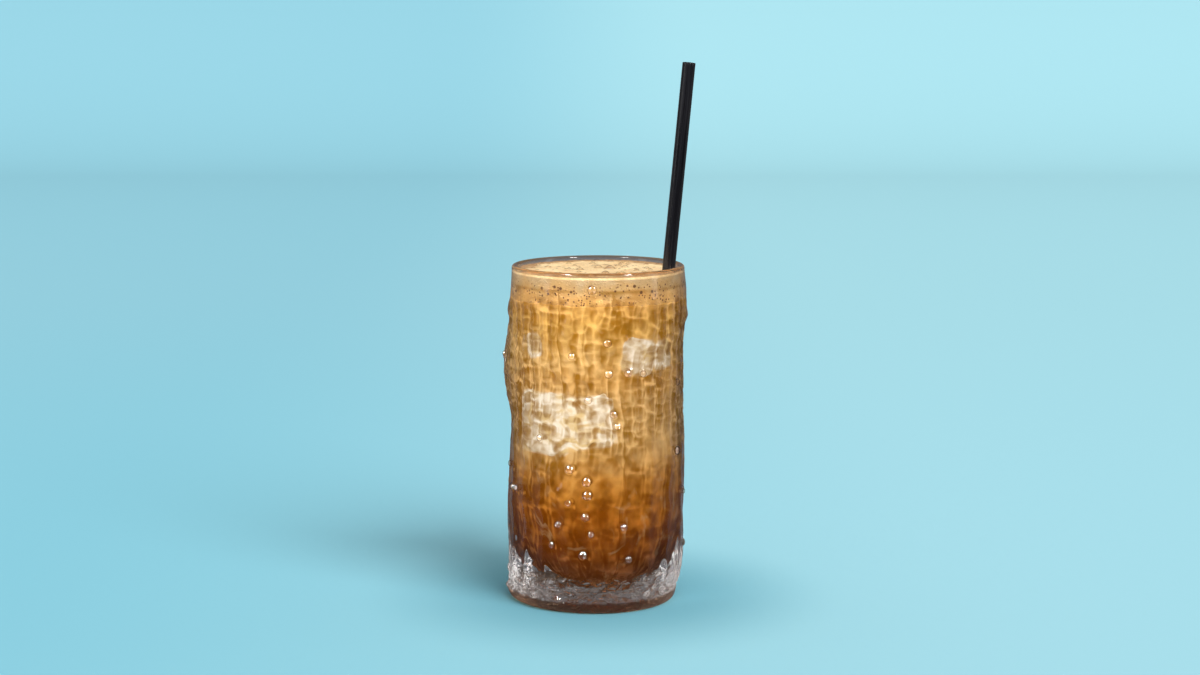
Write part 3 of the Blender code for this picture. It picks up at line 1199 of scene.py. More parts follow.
@dataclass
class Pearls:
    """The smooth round skins of the drops of glass, one piece for them all."""

    bark: Bark
    rise: float = 0.6
    sunk: float = 0.15 * MM

    def build(self) -> bpy.types.Object:
        """Makes and dresses the skins.

        Returns:
            All the skins, as one object.
        """
        made = bmesh.new()
        for azimuth, height, size in self.bark.pearls():
            level = np.array(height)
            plain = self.bark.outline_radius(level) + self.bark.swelling(azimuth, level)
            radius = float(plain) - self.sunk
            place = Matrix.Translation((radius * math.cos(azimuth), radius * math.sin(azimuth), height))
            place = place @ Matrix.Rotation(azimuth, 4, "Z") @ Matrix.Diagonal((self.rise, 1, 1, 1))
            bmesh.ops.create_uvsphere(made, u_segments=24, v_segments=16, radius=size, matrix=place)
        piece = piece_from("glass_pearls", made)
        piece.visible_shadow = False
        return on_part(piece, Slot.GLASS, self._finish())

    def _finish(self) -> Finish:
        """Clear skin that mirrors the lamps, with painted shade on what is seen through it near its rim.

        Returns:
            The material.
        """
        finish = Finish("pearl_skin")
        nodes = finish.tree.nodes
        edge = nodes.new("ShaderNodeLayerWeight")
        edge.inputs["Blend"].default_value = 0.5
        clear = nodes.new("ShaderNodeBsdfTransparent")
        # painted shade: what shows through the skin is darkened toward its rim
        rim = finish.fit(edge.outputs["Facing"], 0.2, 0.85)
        painted_rim_shade = finish.blend(rim, Colour(255, 250, 242), Colour(118, 84, 54))
        finish.link(painted_rim_shade, clear.inputs["Color"])
        finish.set(Roughness=0.03, IOR=1.5)
        finish.colour(finish.blend(finish.noise((500, 500, 500)), Colour(0, 0, 0), Colour(6, 5, 4)))
        both = nodes.new("ShaderNodeAddShader")
        finish.link(clear.outputs[0], both.inputs[0])
        finish.link(finish.shader.outputs[0], both.inputs[1])
        finish.link(both.outputs[0], finish.output.inputs["Surface"])
        return finish


@dataclass
class Straw:
    """The black drinking straw, a thin open tube that leans to the right and to the front."""

    foot: tuple[float, float, float] = (18.73 * MM, 3.65 * MM, 18.0 * MM)
    at_rim: tuple[float, float, float] = (30.35 * MM, -5.0 * MM, 145 * MM)
    length: float = 214.4 * MM
    radius: float = 2.75 * MM
    wall: float = 0.35 * MM
    crease_at: float = 146.4 * MM
    crease_depth: float = 0.10 * MM
    crease_height: float = 0.45 * MM
    drawn_depth: float = 0.015 * MM
    steps: int = 72
    cut_inside: float = 0.06 * MM
    cut_steps: int = 48

    def direction(self) -> Vector:
        """The way the straw points, from its foot up."""
        return (Vector(self.at_rim) - Vector(self.foot)).normalized()

    def placed(self) -> Matrix:
        """Where the straw's own upright axes lie in the glass."""
        turn = Vector((0, 0, 1)).rotation_difference(self.direction()).to_matrix().to_4x4()
        return Matrix.Translation(self.foot) @ turn

    def centre_at(self, height: float) -> Vector:
        """The middle of the straw at some height above the underside."""
        along = self.direction()
        return Vector(self.foot) + along * ((height - self.foot[2]) / along.z)

    def build(self) -> bpy.types.Object:
        """Makes the tube with its cut ends, and dresses it.

        Returns:
            The straw.
        """
        half = self.wall / 2
        middle = self.radius - half
        outer = [(self.radius, z) for z in np.linspace(self.length - half, half, 220)]
        foot_turns = np.radians([30, 60, 90, 120, 150])
        foot = [(middle + half * math.cos(t), half - half * math.sin(t)) for t in foot_turns]
        inner = [(self.radius - self.wall, z) for z in np.linspace(half, self.length - half, 60)]
        end_turns = np.radians([-60, -30, 0, 30, 60])
        end = [(middle + half * math.sin(t), self.length - half + half * math.cos(t)) for t in end_turns]
        profile = np.array([*outer, *foot, *inner, *end])
        azimuth = np.broadcast_to(np.arange(self.steps) / self.steps * TURN, (len(profile), self.steps))
        level = profile[:, 1:] + 0 * azimuth
        crease = self.crease_depth * np.exp(-(((level - self.crease_at) / self.crease_height) ** 2))
        drawn = self.drawn_depth * Unevenness(26, 60 * MM, 5).at(azimuth, level)
        grid = turned_points(profile[:, :1] - crease + drawn, azimuth, level)
        piece = turned_mesh("straw_tube", grid, None)
        piece.data.transform(self.placed())
        give_values(piece, "grain", Unevenness(48, 22 * MM, 6).at(azimuth, level).ravel())
        return on_part(piece, Slot.STRAW, self._finish(), "straw")

    def cutter(self, name: str) -> bpy.types.Object:
        """A closed rod, a hair thinner than the straw, that makes room for it.

        Args:
            name: Name of the rod.

        Returns:
            The rod, where the straw stands.
        """
        radius = self.radius - self.cut_inside
        levels = np.linspace(self.length * 0.8, self.cut_inside, 3)
        turns = np.arange(self.cut_steps) / self.cut_steps * TURN
        azimuth = np.broadcast_to(turns, (len(levels), self.cut_steps))
        grid = turned_points(radius + 0 * azimuth, azimuth, levels[:, None] + 0 * azimuth)
        rod = turned_mesh(name, grid, (Vector((0, 0, levels[0])), Vector((0, 0, levels[-1]))))
        rod.data.transform(self.placed())
        return rod

    def _finish(self) -> Finish:
        """Black drawn plastic, glossy with faint lengthwise lines.

        Returns:
            The material.
        """
        finish = Finish("black_straw_plastic")
        grain = finish.attribute("grain")
        finish.colour(finish.blend(finish.fit(grain, -1, 1), Colour(13, 13, 16), Colour(27, 27, 31)))
        finish.link(finish.fit(grain, -1, 1, 0.20, 0.34), finish.shader.inputs["Roughness"])
        finish.set(IOR=1.49)
        finish.bump(finish.noise((900, 900, 500), 2.0), 0.02 * MM, 0.35)
        return finish


@dataclass(frozen=True)
class Cube:
    """An ice cube: where it floats, its size, how it is turned about the axis, and how it leans."""

    centre: tuple[float, float, float]
    size: tuple[float, float, float]
    turn: float = 0.0
    lean: float = 0.0
    rounding: float = 3.2 * MM

    def placed(self) -> Matrix:
        """Where the cube's own axes lie in the glass.

        Returns:
            The cube's place and turn.
        """
        turned = Matrix.Rotation(math.radians(self.turn), 4, "Z")
        leant = Matrix.Rotation(math.radians(self.lean), 4, "Y")
        return Matrix.Translation(Vector(self.centre) * MM) @ turned @ leant

    def distance(self, points: np.ndarray) -> np.ndarray:
        """How far points lie outside the cube's skin, below 0 inside it.

        Args:
            points: Places as rows of x, y and z.

        Returns:
            The distances.
        """
        back = np.array(self.placed().inverted())
        local = points @ back[:3, :3].T + back[:3, 3]
        over = np.abs(local) - (np.array(self.size) * MM / 2 - self.rounding)
        outside = np.sqrt((np.maximum(over, 0) ** 2).sum(axis=1))
        return outside + np.minimum(over.max(axis=1), 0) - self.rounding


@dataclass
class Ice:
    """The ice cubes that float in the drink and rest against the glass."""

    cavity: Cavity
    focus: Focus
    cubes: tuple[Cube, ...] = (
        Cube((-16.5, -19.5, 80), (21, 24, 25), 37, 4),
        Cube((-3.5, -25.0, 82), (19, 20, 21), -2, -7),
        Cube((14.6, -25.5, 109.5), (13, 17, 13), 29, 6),
        Cube((23.5, -19.0, 109), (9, 15, 11), 44, -4),
        Cube((-24.0, -19.5, 113), (9, 16, 9), -48, -12),
        Cube((16.5, 18.0, 96), (22, 20, 24), 42, 9),
        Cube((-15.0, 19.5, 104), (24, 18, 22), -30, -7),
        Cube((-18.5, 15.0, 70), (20, 22, 21), 25, 12),
    )
    cuts: int = 34
    reach: float = 0.24 * MM
    melt: float = 1.9 * MM
    shows_to: float = 1.6 * MM

    def build(self) -> list[bpy.types.Object]:
        """Makes and dresses every cube."""
        finish = self._finish()
        return [self._cube(number, cube, finish) for number, cube in enumerate(self.cubes, 1)]

    def nearness(self, points: np.ndarray) -> np.ndarray:
        """How much the ice shows through the drink at points on its skin, from 0 to 1."""
        away = np.min([cube.distance(points) for cube in self.cubes], axis=0)
        return smooth(1 - away / self.shows_to)

    def _cube(self, number: int, cube: Cube, finish: Finish) -> bpy.types.Object:
        """One rounded cube, melted uneven and pressed flat along the glass.

        Args:
            number: Its number, which also picks how it melted.
            cube: Its size and place.
            finish: Its material.

        Returns:
            The cube.
        """
        made = bmesh.new()
        bmesh.ops.create_cube(made, size=2.0)
        bmesh.ops.subdivide_edges(made, edges=made.edges[:], cuts=self.cuts, use_grid_fill=True)
        piece = piece_from(f"ice_{number}", made)
        share = points_of(piece)
        half = np.array(cube.size) * MM / 2
        full = share * half
        inner = np.clip(full, -(half - cube.rounding), half - cube.rounding)
        out = full - inner
        out = out / np.maximum(np.linalg.norm(out, axis=1, keepdims=True), 1e-9)
        melt = lattice(full[:, 0] / (5 * MM) + full[:, 2] / (7 * MM), full[:, 1] / (5 * MM), number)
        local = inner + out * (cube.rounding + self.melt * melt[:, None])
        placed = np.array(cube.placed())
        points = local @ placed[:3, :3].T + placed[:3, 3]
        radius = np.hypot(points[:, 0], points[:, 1])
        most = self.cavity.wall_radius(points[:, 2]) + self.reach
        points[:, :2] *= np.minimum(1.0, most / np.maximum(radius, 1e-9))[:, None]
        piece.data.vertices.foreach_set("co", points.astype(np.float32).ravel())
        piece.data.update()
        # the bark's painted light and shade, stored for the ice's colour
        give_values(piece, "painted_light_and_shade", self.focus.at(points))
        return on_part(piece, Slot.COFFEE, finish)

    def _finish(self) -> Finish:
        """Ice behind a film of milk coffee.

        Returns:
            The material.
        """
        finish = Finish("ice_in_milk_coffee")
        clouds = finish.noise((120, 120, 150), 4.0, 0.8)
        finish.colour(iced(finish))
        finish.set(Roughness=0.6, Specular_IOR_Level=0.0)
        finish.bump(clouds, 0.3 * MM, 0.4)
        return finish


def iced(finish: Finish) -> bpy.types.NodeSocket:
    """The colour of ice seen through the bark: cream and tan clouds, with painted light along the ridges
    and painted shade between them.

    Args:
        finish: The material under construction.

    Returns:
        The colour.
    """
    clouds = finish.noise((105, 105, 140), 4.0, 1.0)
    share = finish.fit(clouds, 0.36, 0.62)
    # painted shaded and lit copies of the ice's colours, picked by the bark's painted light and shade
    dark = finish.blend(share, Colour(124, 88, 42), Colour(158, 132, 94))
    light = finish.blend(share, Colour(186, 160, 112), Colour(212, 202, 184))
    return finish.blend(finish.fit(finish.attribute("painted_light_and_shade"), 0.35, 1.7), dark, light)


DRINK_COLOURS = (
    (8 * MM, Colour(134, 82, 42)),
    (17 * MM, Colour(146, 82, 34)),
    (25 * MM, Colour(144, 78, 22)),
    (33 * MM, Colour(129, 70, 16)),
    (42 * MM, Colour(132, 74, 16)),
    (50 * MM, Colour(137, 82, 20)),
    (58 * MM, Colour(154, 101, 36)),
    (67 * MM, Colour(164, 120, 58)),
    (75 * MM, Colour(168, 127, 66)),
    (92 * MM, Colour(173, 131, 69)),
    (100 * MM, Colour(171, 125, 60)),
    (109 * MM, Colour(181, 138, 71)),
    (117 * MM, Colour(180, 135, 64)),
    (124 * MM, Colour(176, 129, 55)),
    (130 * MM, Colour(184, 134, 62)),
    (134 * MM, Colour(188, 138, 68)),
    (138 * MM, Colour(186, 146, 84)),
    (143 * MM, Colour(185, 156, 106)),
)


def layered(finish: Finish, clouds: bpy.types.NodeSocket) -> bpy.types.NodeSocket:
    """The drink's colours by height, with painted shade in the bark's hollows and painted light along its
    ridges.

    Args:
        finish: The material under construction.
        clouds: Noise that lifts and sinks the layers.

    Returns:
        The colour.
    """
    low, high = DRINK_COLOURS[0][0], DRINK_COLOURS[-1][0]
    drift = finish.calc("MULTIPLY", finish.calc("SUBTRACT", clouds, 0.5), 0.11)
    height = finish.calc("MULTIPLY", finish.calc("SUBTRACT", finish.height(), low), 1 / (high - low))
    place = finish.calc("ADD", height, drift)
    stops = [((level - low) / (high - low), colour) for level, colour in DRINK_COLOURS]
    # painted shaded and lit copies of the layers, picked by the bark's painted light and shade
    dark = finish.ramp(place, [(at, colour.tinted(0.52, 0.44, 0.20)) for at, colour in stops])
    light = finish.ramp(place, [(at, colour.tinted(1.40, 1.62, 2.5)) for at, colour in stops])
    return finish.blend(finish.fit(finish.attribute("painted_light_and_shade"), 0.3, 1.9), dark, light)


@dataclass
class Coffee:
    """The iced milk coffee, which fills the glass up to the foam and round the straw."""

    cavity: Cavity
    focus: Focus
    ice: Ice
    straw: Straw
    top: float = 131 * MM
    steps: int = 540
    rows: int = 124

    def build(self) -> bpy.types.Object:
        """Makes the drink, cuts the straw's room out of it, and dresses it.

        Returns:
            The drink.
        """
        levels = np.linspace(self.top, self.cavity.bowl_height, self.rows)
        wall = [(float(self.cavity.wall_radius(level)) + REACH_INTO_WALL, level) for level in levels]
        lid = [(wall[0][0] * share, self.top) for share in (0.3, 0.6, 0.9)]
        bowl = self.cavity.bowl_profile(REACH_INTO_WALL, 50)
        floor = self.cavity.floor_height - REACH_INTO_WALL
        flat = [(bowl[-1][0] * share, floor) for share in (0.6, 0.3)]
        profile = np.array([*lid, *wall, *bowl, *flat])
        azimuth = np.broadcast_to(np.arange(self.steps) / self.steps * TURN, (len(profile), self.steps))
        grid = turned_points(profile[:, :1] + 0 * azimuth, azimuth, profile[:, 1:] + 0 * azimuth)
        piece = turned_mesh("coffee_drink", grid, (Vector((0, 0, self.top)), Vector((0, 0, floor))))
        cut_with(piece, self.straw.cutter("straw_room_in_drink"))
        points = points_of(piece)
        # the bark's painted light and shade, stored for the drink's colour
        give_values(piece, "painted_light_and_shade", self.focus.at(points))
        give_values(piece, "veil", self.ice.nearness(points))
        return on_part(piece, Slot.COFFEE, self._finish(), "coffee")

    def _finish(self) -> Finish:
        """Layered milk coffee: cream swirled into dark coffee that settles at the bottom.

        Returns:
            The material.
        """
        finish = Finish("layered_milk_coffee")
        swirl = finish.noise((34, 34, 60), 4.0, 1.6)
        body = layered(finish, swirl)
        mottle = finish.noise((260, 260, 200), 3.0, 0.6)
        body = finish.lit(body, finish.fit(mottle, 0.25, 0.75, 0.84, 1.14))
        milk = finish.fit(finish.noise((70, 70, 46), 3.0, 2.2), 0.56, 0.74, 0.0, 0.30)
        body = finish.blend(milk, body, Colour(172, 146, 104))
        finish.colour(finish.blend(finish.attribute("veil"), body, iced(finish)))
        finish.set(Roughness=0.7, Specular_IOR_Level=0.0)
        return finish


@dataclass(frozen=True)
class Bubble:
    """A bubble in the foam, by its place across the top and its radius, in millimetres."""

    x: float
    y: float
    radius: float


NAMED_BUBBLES = (
    Bubble(-7.7, -1.4, 1.7),
    Bubble(0.2, 6.4, 1.9),
    Bubble(5.2, 3.4, 2.5),
    Bubble(8.6, 13.6, 1.4),
    Bubble(11.8, 8.6, 1.7),
    Bubble(21.0, 6.4, 1.3),
    Bubble(-12.5, 3.6, 1.2),
    Bubble(-21.6, 9.5, 1.5),
    Bubble(3.2, -14.0, 1.8),
    Bubble(-16.0, -15.5, 1.5),
    Bubble(14.5, -19.5, 1.4),
    Bubble(-2.5, 24.0, 1.5),
)


@dataclass
class FoamHead:
    """The tan foam on top, with bubbles standing in it and the straw through it."""

    cavity: Cavity
    focus: Focus
    straw: Straw
    top: float = 142.6 * MM
    bottom: float = 130.9 * MM
    edge_rise: float = 0.5 * MM
    wave_height: float = 0.22 * MM
    lump_height: float = 0.13 * MM
    crumb_height: float = 0.07 * MM
    dip_depth: float = 0.6 * MM
    dip_edge: float = 0.10 * MM
    sink: float = 0.45
    small_bubbles: int = 90
    seed: int = 4
    steps: int = 480
    rings: int = 100
    bubbles: list[Bubble] = field(init=False)

    def __post_init__(self) -> None:
        """Scatters the smaller bubbles, most of them near the wall, clear of each other and the straw."""
        self.bubbles = list(NAMED_BUBBLES)
        draw = np.random.RandomState(self.seed)
        through = self.straw.centre_at(self.top) / MM
        for _ in range(self.small_bubbles * 6):
            radius = 0.45 + 0.95 * draw.random_sample() ** 2.2
            out = (33.2 - radius) * (1 - 0.75 * draw.random_sample() ** 1.6)
            azimuth = draw.uniform(0, TURN)
            x, y = out * math.cos(azimuth), out * math.sin(azimuth)
            clear = math.hypot(x - through.x, y - through.y) > radius + 3.0
            for other in self.bubbles:
                clear = clear and math.hypot(x - other.x, y - other.y) > 1.05 * (radius + other.radius)
            if clear:
                self.bubbles.append(Bubble(x, y, radius))
            if len(self.bubbles) >= self.small_bubbles + len(NAMED_BUBBLES):
                break

    def calm_height(self, x: np.ndarray, y: np.ndarray) -> np.ndarray:
        """Height of the foam's top before bubbles press into it.

        Args:
            x: Places to the right of the axis.
            y: Places behind the axis.

        Returns:
            Heights above the underside.
        """
        radius = np.hypot(x, y)
        edge = smooth((radius - 27 * MM) / (7 * MM))
        waves = np.sin(x / (5.1 * MM) + 0.7) * np.sin(y / (4.3 * MM) - 0.4)
        lumps = self.lump_height * lattice(x / (2.3 * MM), y / (2.3 * MM), 41)
        crumbs = self.crumb_height * lattice(x / (0.9 * MM), y / (0.9 * MM), 42)
        return self.top + edge * self.edge_rise + self.wave_height * (1 - edge) * waves + lumps + crumbs

    def build(self) -> list[bpy.types.Object]:
        """Makes the foam and the films of its bubbles."""
        return [self._head(), self._films()]

    def _head(self) -> bpy.types.Object:
        """The foam itself, with a dip under each bubble.

        Returns:
            The foam.
        """
        wall = float(self.cavity.wall_radius(self.top)) + REACH_INTO_WALL
        azimuth = np.arange(self.steps) / self.steps * TURN
        radius = (np.arange(self.rings) + 1) / self.rings * wall
        around, out = np.meshgrid(azimuth, radius)
        x, y = out * np.cos(around), out * np.sin(around)
        height = self.calm_height(x, y)
        dip = np.zeros_like(height)
        for bubble in self.bubbles:
            away = np.hypot(x / MM - bubble.x, y / MM - bubble.y) / bubble.radius
            dip = np.maximum(dip, np.maximum(0.0, 1 - away**2) * min(1.0, bubble.radius))
            height = height + self.dip_edge * np.exp(-(((away - 1.08) / 0.12) ** 2))
        top = np.stack([x, y, height - self.dip_depth * dip], axis=-1)
        share = np.linspace(0, 1, 26)[1:]
        edge = top[-1, :, 2]
        side_height = edge + (self.bottom - edge) * share[:, None]
        side_radius = self.cavity.wall_radius(side_height) + REACH_INTO_WALL
        side = turned_points(side_radius, azimuth + 0 * side_height, side_height)
        under_radius = side_radius[-1] * np.array([0.9, 0.6, 0.3])[:, None]
        under = turned_points(under_radius, azimuth + 0 * under_radius, self.bottom + 0 * under_radius)
        grid = np.concatenate([top, side, under])
        middle = Vector((0, 0, float(top[0, :, 2].mean())))
        piece = turned_mesh("foam_head", grid, (middle, Vector((0, 0, self.bottom))))
        cut_with(piece, self.straw.cutter("straw_room_in_foam"))
        points = points_of(piece)
        # the bark's painted light and shade, stored for the foam's sides
        give_values(piece, "painted_light_and_shade", self.focus.at(points))
        dips = np.zeros(len(points))
        rings = np.zeros(len(points))
        for bubble in self.bubbles:
            away = np.hypot(points[:, 0] / MM - bubble.x, points[:, 1] / MM - bubble.y) / bubble.radius
            dips = np.maximum(dips, smooth(2.6 - 3.2 * away) * min(1.0, bubble.radius))
            width = 0.16 + 0.10 / bubble.radius
            rings = np.maximum(rings, np.exp(-(((away - 0.98) / width) ** 2)))
        on_top = points[:, 2] > self.top - 2 * MM
        give_values(piece, "dip", dips * on_top)
        give_values(piece, "ring", rings * on_top)
        piece.data.set_sharp_from_angle(angle=math.radians(55))
        return on_part(piece, Slot.FOAM, self._foam_finish(), "foam")

    def _films(self) -> bpy.types.Object:
        """The thin domes of the bubbles, as one piece.

        Returns:
            All the domes, as one object.
        """
        made = bmesh.new()
        for bubble in self.bubbles:
            x, y, radius = bubble.x * MM, bubble.y * MM, bubble.radius * MM
            level = float(self.calm_height(np.array(x), np.array(y))) - self.sink * radius
            fine = 26 if bubble.radius > 1.1 else 16
            parts = {"u_segments": fine, "v_segments": fine // 2}
            place = Matrix.Translation((x, y, level))
            bmesh.ops.create_uvsphere(made, **parts, radius=radius, matrix=place)
        piece = piece_from("foam_bubbles", made)
        piece.visible_shadow = False
        return on_part(piece, Slot.FOAM, self._film_finish())

    def _foam_finish(self) -> Finish:
        """Tan coffee foam: fine bubbles, paler and yellower clouds, painted shade in the bubbles' dips and
        on the raised edge, and coffee-stained sides with the bark's painted light and shade.

        Returns:
            The material.
        """
        finish = Finish("tan_coffee_foam")
        clouds = finish.noise((75, 75, 75), 4.0, 1.0)
        pale = finish.blend(finish.fit(clouds, 0.36, 0.66), Colour(232, 196, 142), Colour(250, 223, 172))
        gold = finish.fit(finish.noise((48, 48, 48), 2.0, 0.8), 0.60, 0.74, 0.0, 0.75)
        top = finish.blend(gold, pale, Colour(240, 192, 112))
        ring = finish.calc("MULTIPLY", finish.attribute("ring"), 0.7)
        top = finish.blend(ring, top, Colour(142, 102, 58))
        # painted shade: the dip under each bubble is painted grey
        dip = finish.calc("MULTIPLY", finish.attribute("dip"), 0.8)
        top = finish.blend(dip, top, Colour(158, 142, 152))
        distance, own = finish.spots(950)
        rings = finish.fit(distance, 0.30, 0.52, 1.03, 0.86)
        top = finish.lit(top, rings)
        # the sides take the drink's colours with the bark's painted light and shade
        side = layered(finish, clouds)
        side = finish.lit(side, finish.fit(finish.noise((330, 330, 330), 3.0), 0.3, 0.7, 0.90, 1.08))
        speck = finish.calc("MULTIPLY", finish.fit(own, 0.66, 0.74), finish.fit(distance, 0.42, 0.27))
        wide_distance, wide_own = finish.spots(400)
        open_cell = finish.fit(wide_own, 0.58, 0.66)
        hole = finish.calc("MULTIPLY", open_cell, finish.fit(wide_distance, 0.35, 0.20))
        level = finish.calc("ADD", finish.height(), finish.calc("MULTIPLY", clouds, 4 * MM))
        band = finish.fit(level, 142.5 * MM, 141 * MM)
        low_band = finish.calc("MULTIPLY", band, finish.fit(level, 135.5 * MM, 137.5 * MM))
        side = finish.blend(finish.calc("MULTIPLY", speck, band), side, Colour(92, 54, 24))
        side = finish.blend(finish.calc("MULTIPLY", hole, low_band), side, Colour(84, 48, 20))
        # painted shade: the highest foam, mostly its raised edge at the wall, is painted brown
        painted_edge_shade = finish.fit(finish.height(), self.top + 0.14 * MM, self.top + 0.40 * MM, 0.0, 0.9)
        top = finish.blend(painted_edge_shade, top, Colour(158, 114, 66))
        on_top = finish.fit(finish.height(), self.top - 1.0 * MM, self.top - 0.2 * MM)
        finish.colour(finish.blend(on_top, side, top))
        finish.set(Roughness=0.42, Specular_IOR_Level=0.35)
        finish.bump(finish.fit(distance, 0.5, 0.1), 0.25 * MM, 0.7)
        return finish

    def _film_finish(self) -> Finish:
        """The clear film of a bubble, which shows most where it is seen edge on.

        Returns:
            The material.
        """
        finish = Finish("bubble_film")
        nodes = finish.tree.nodes
        edge = nodes.new("ShaderNodeLayerWeight")
        edge.inputs["Blend"].default_value = 0.35
        share = finish.fit(edge.outputs["Facing"], 0.30, 0.85, 0.05, 0.85)
        clear = nodes.new("ShaderNodeBsdfTransparent")
        both = nodes.new("ShaderNodeMixShader")
        tone = finish.noise((500, 500, 500), 1.0)
        finish.colour(finish.blend(tone, Colour(146, 108, 68), Colour(124, 94, 76)))
        finish.set(Roughness=0.05, IOR=1.45)
        finish.link(share, both.inputs["Fac"])
        finish.link(clear.outputs[0], both.inputs[1])
        finish.link(finish.shader.outputs[0], both.inputs[2])
        finish.link(both.outputs[0], finish.output.inputs["Surface"])
        return finish


class Gives(Enum):
    """What a lamp adds: even light, mirrored spots on all the glass, spots on its drops alone, or both."""

    SHADING = "shading"
    GLINTS = "glints"
    SPARKLES = "sparkles"
    BOTH = "both"


@dataclass(frozen=True)
class Lamp:
    """A softbox aimed at the glass: where it hangs, how large it is, and how bright white looks in it."""

    name: str
    azimuth: float
    elevation: float
    distance: float
    width: float
    tall: float
    level: float
    gives: Gives = Gives.BOTH

    def build(self, target: Vector, lit: bpy.types.Collection, see_through: bpy.types.Collection) -> None:
        """Hangs the lamp.

        Args:
            target: What it is aimed at.
            lit: What it lights.
            see_through: What casts no shadow in its light.
        """
        data = bpy.data.lights.new(self.name, "AREA")
        data.shape = "RECTANGLE"
        data.size = self.width
        data.size_y = self.tall
        data.energy = self.level * (math.pi * self.distance) ** 2
        lamp = bpy.data.objects.new(self.name, data)
        turn, rise = math.radians(self.azimuth), math.radians(self.elevation)
        out = Vector((math.cos(rise) * math.cos(turn), math.cos(rise) * math.sin(turn), math.sin(rise)))
        lamp.location = target + out * self.distance
        lamp.rotation_euler = out.to_track_quat("Z", "Y").to_euler()
        lamp.visible_camera = False
        lamp.visible_diffuse = self.gives in (Gives.SHADING, Gives.BOTH)
        lamp.visible_glossy = self.gives is not Gives.SHADING
        lamp.visible_transmission = False
        bpy.context.scene.collection.objects.link(lamp)
        lamp.light_linking.receiver_collection = lit
        lamp.light_linking.blocker_collection = see_through


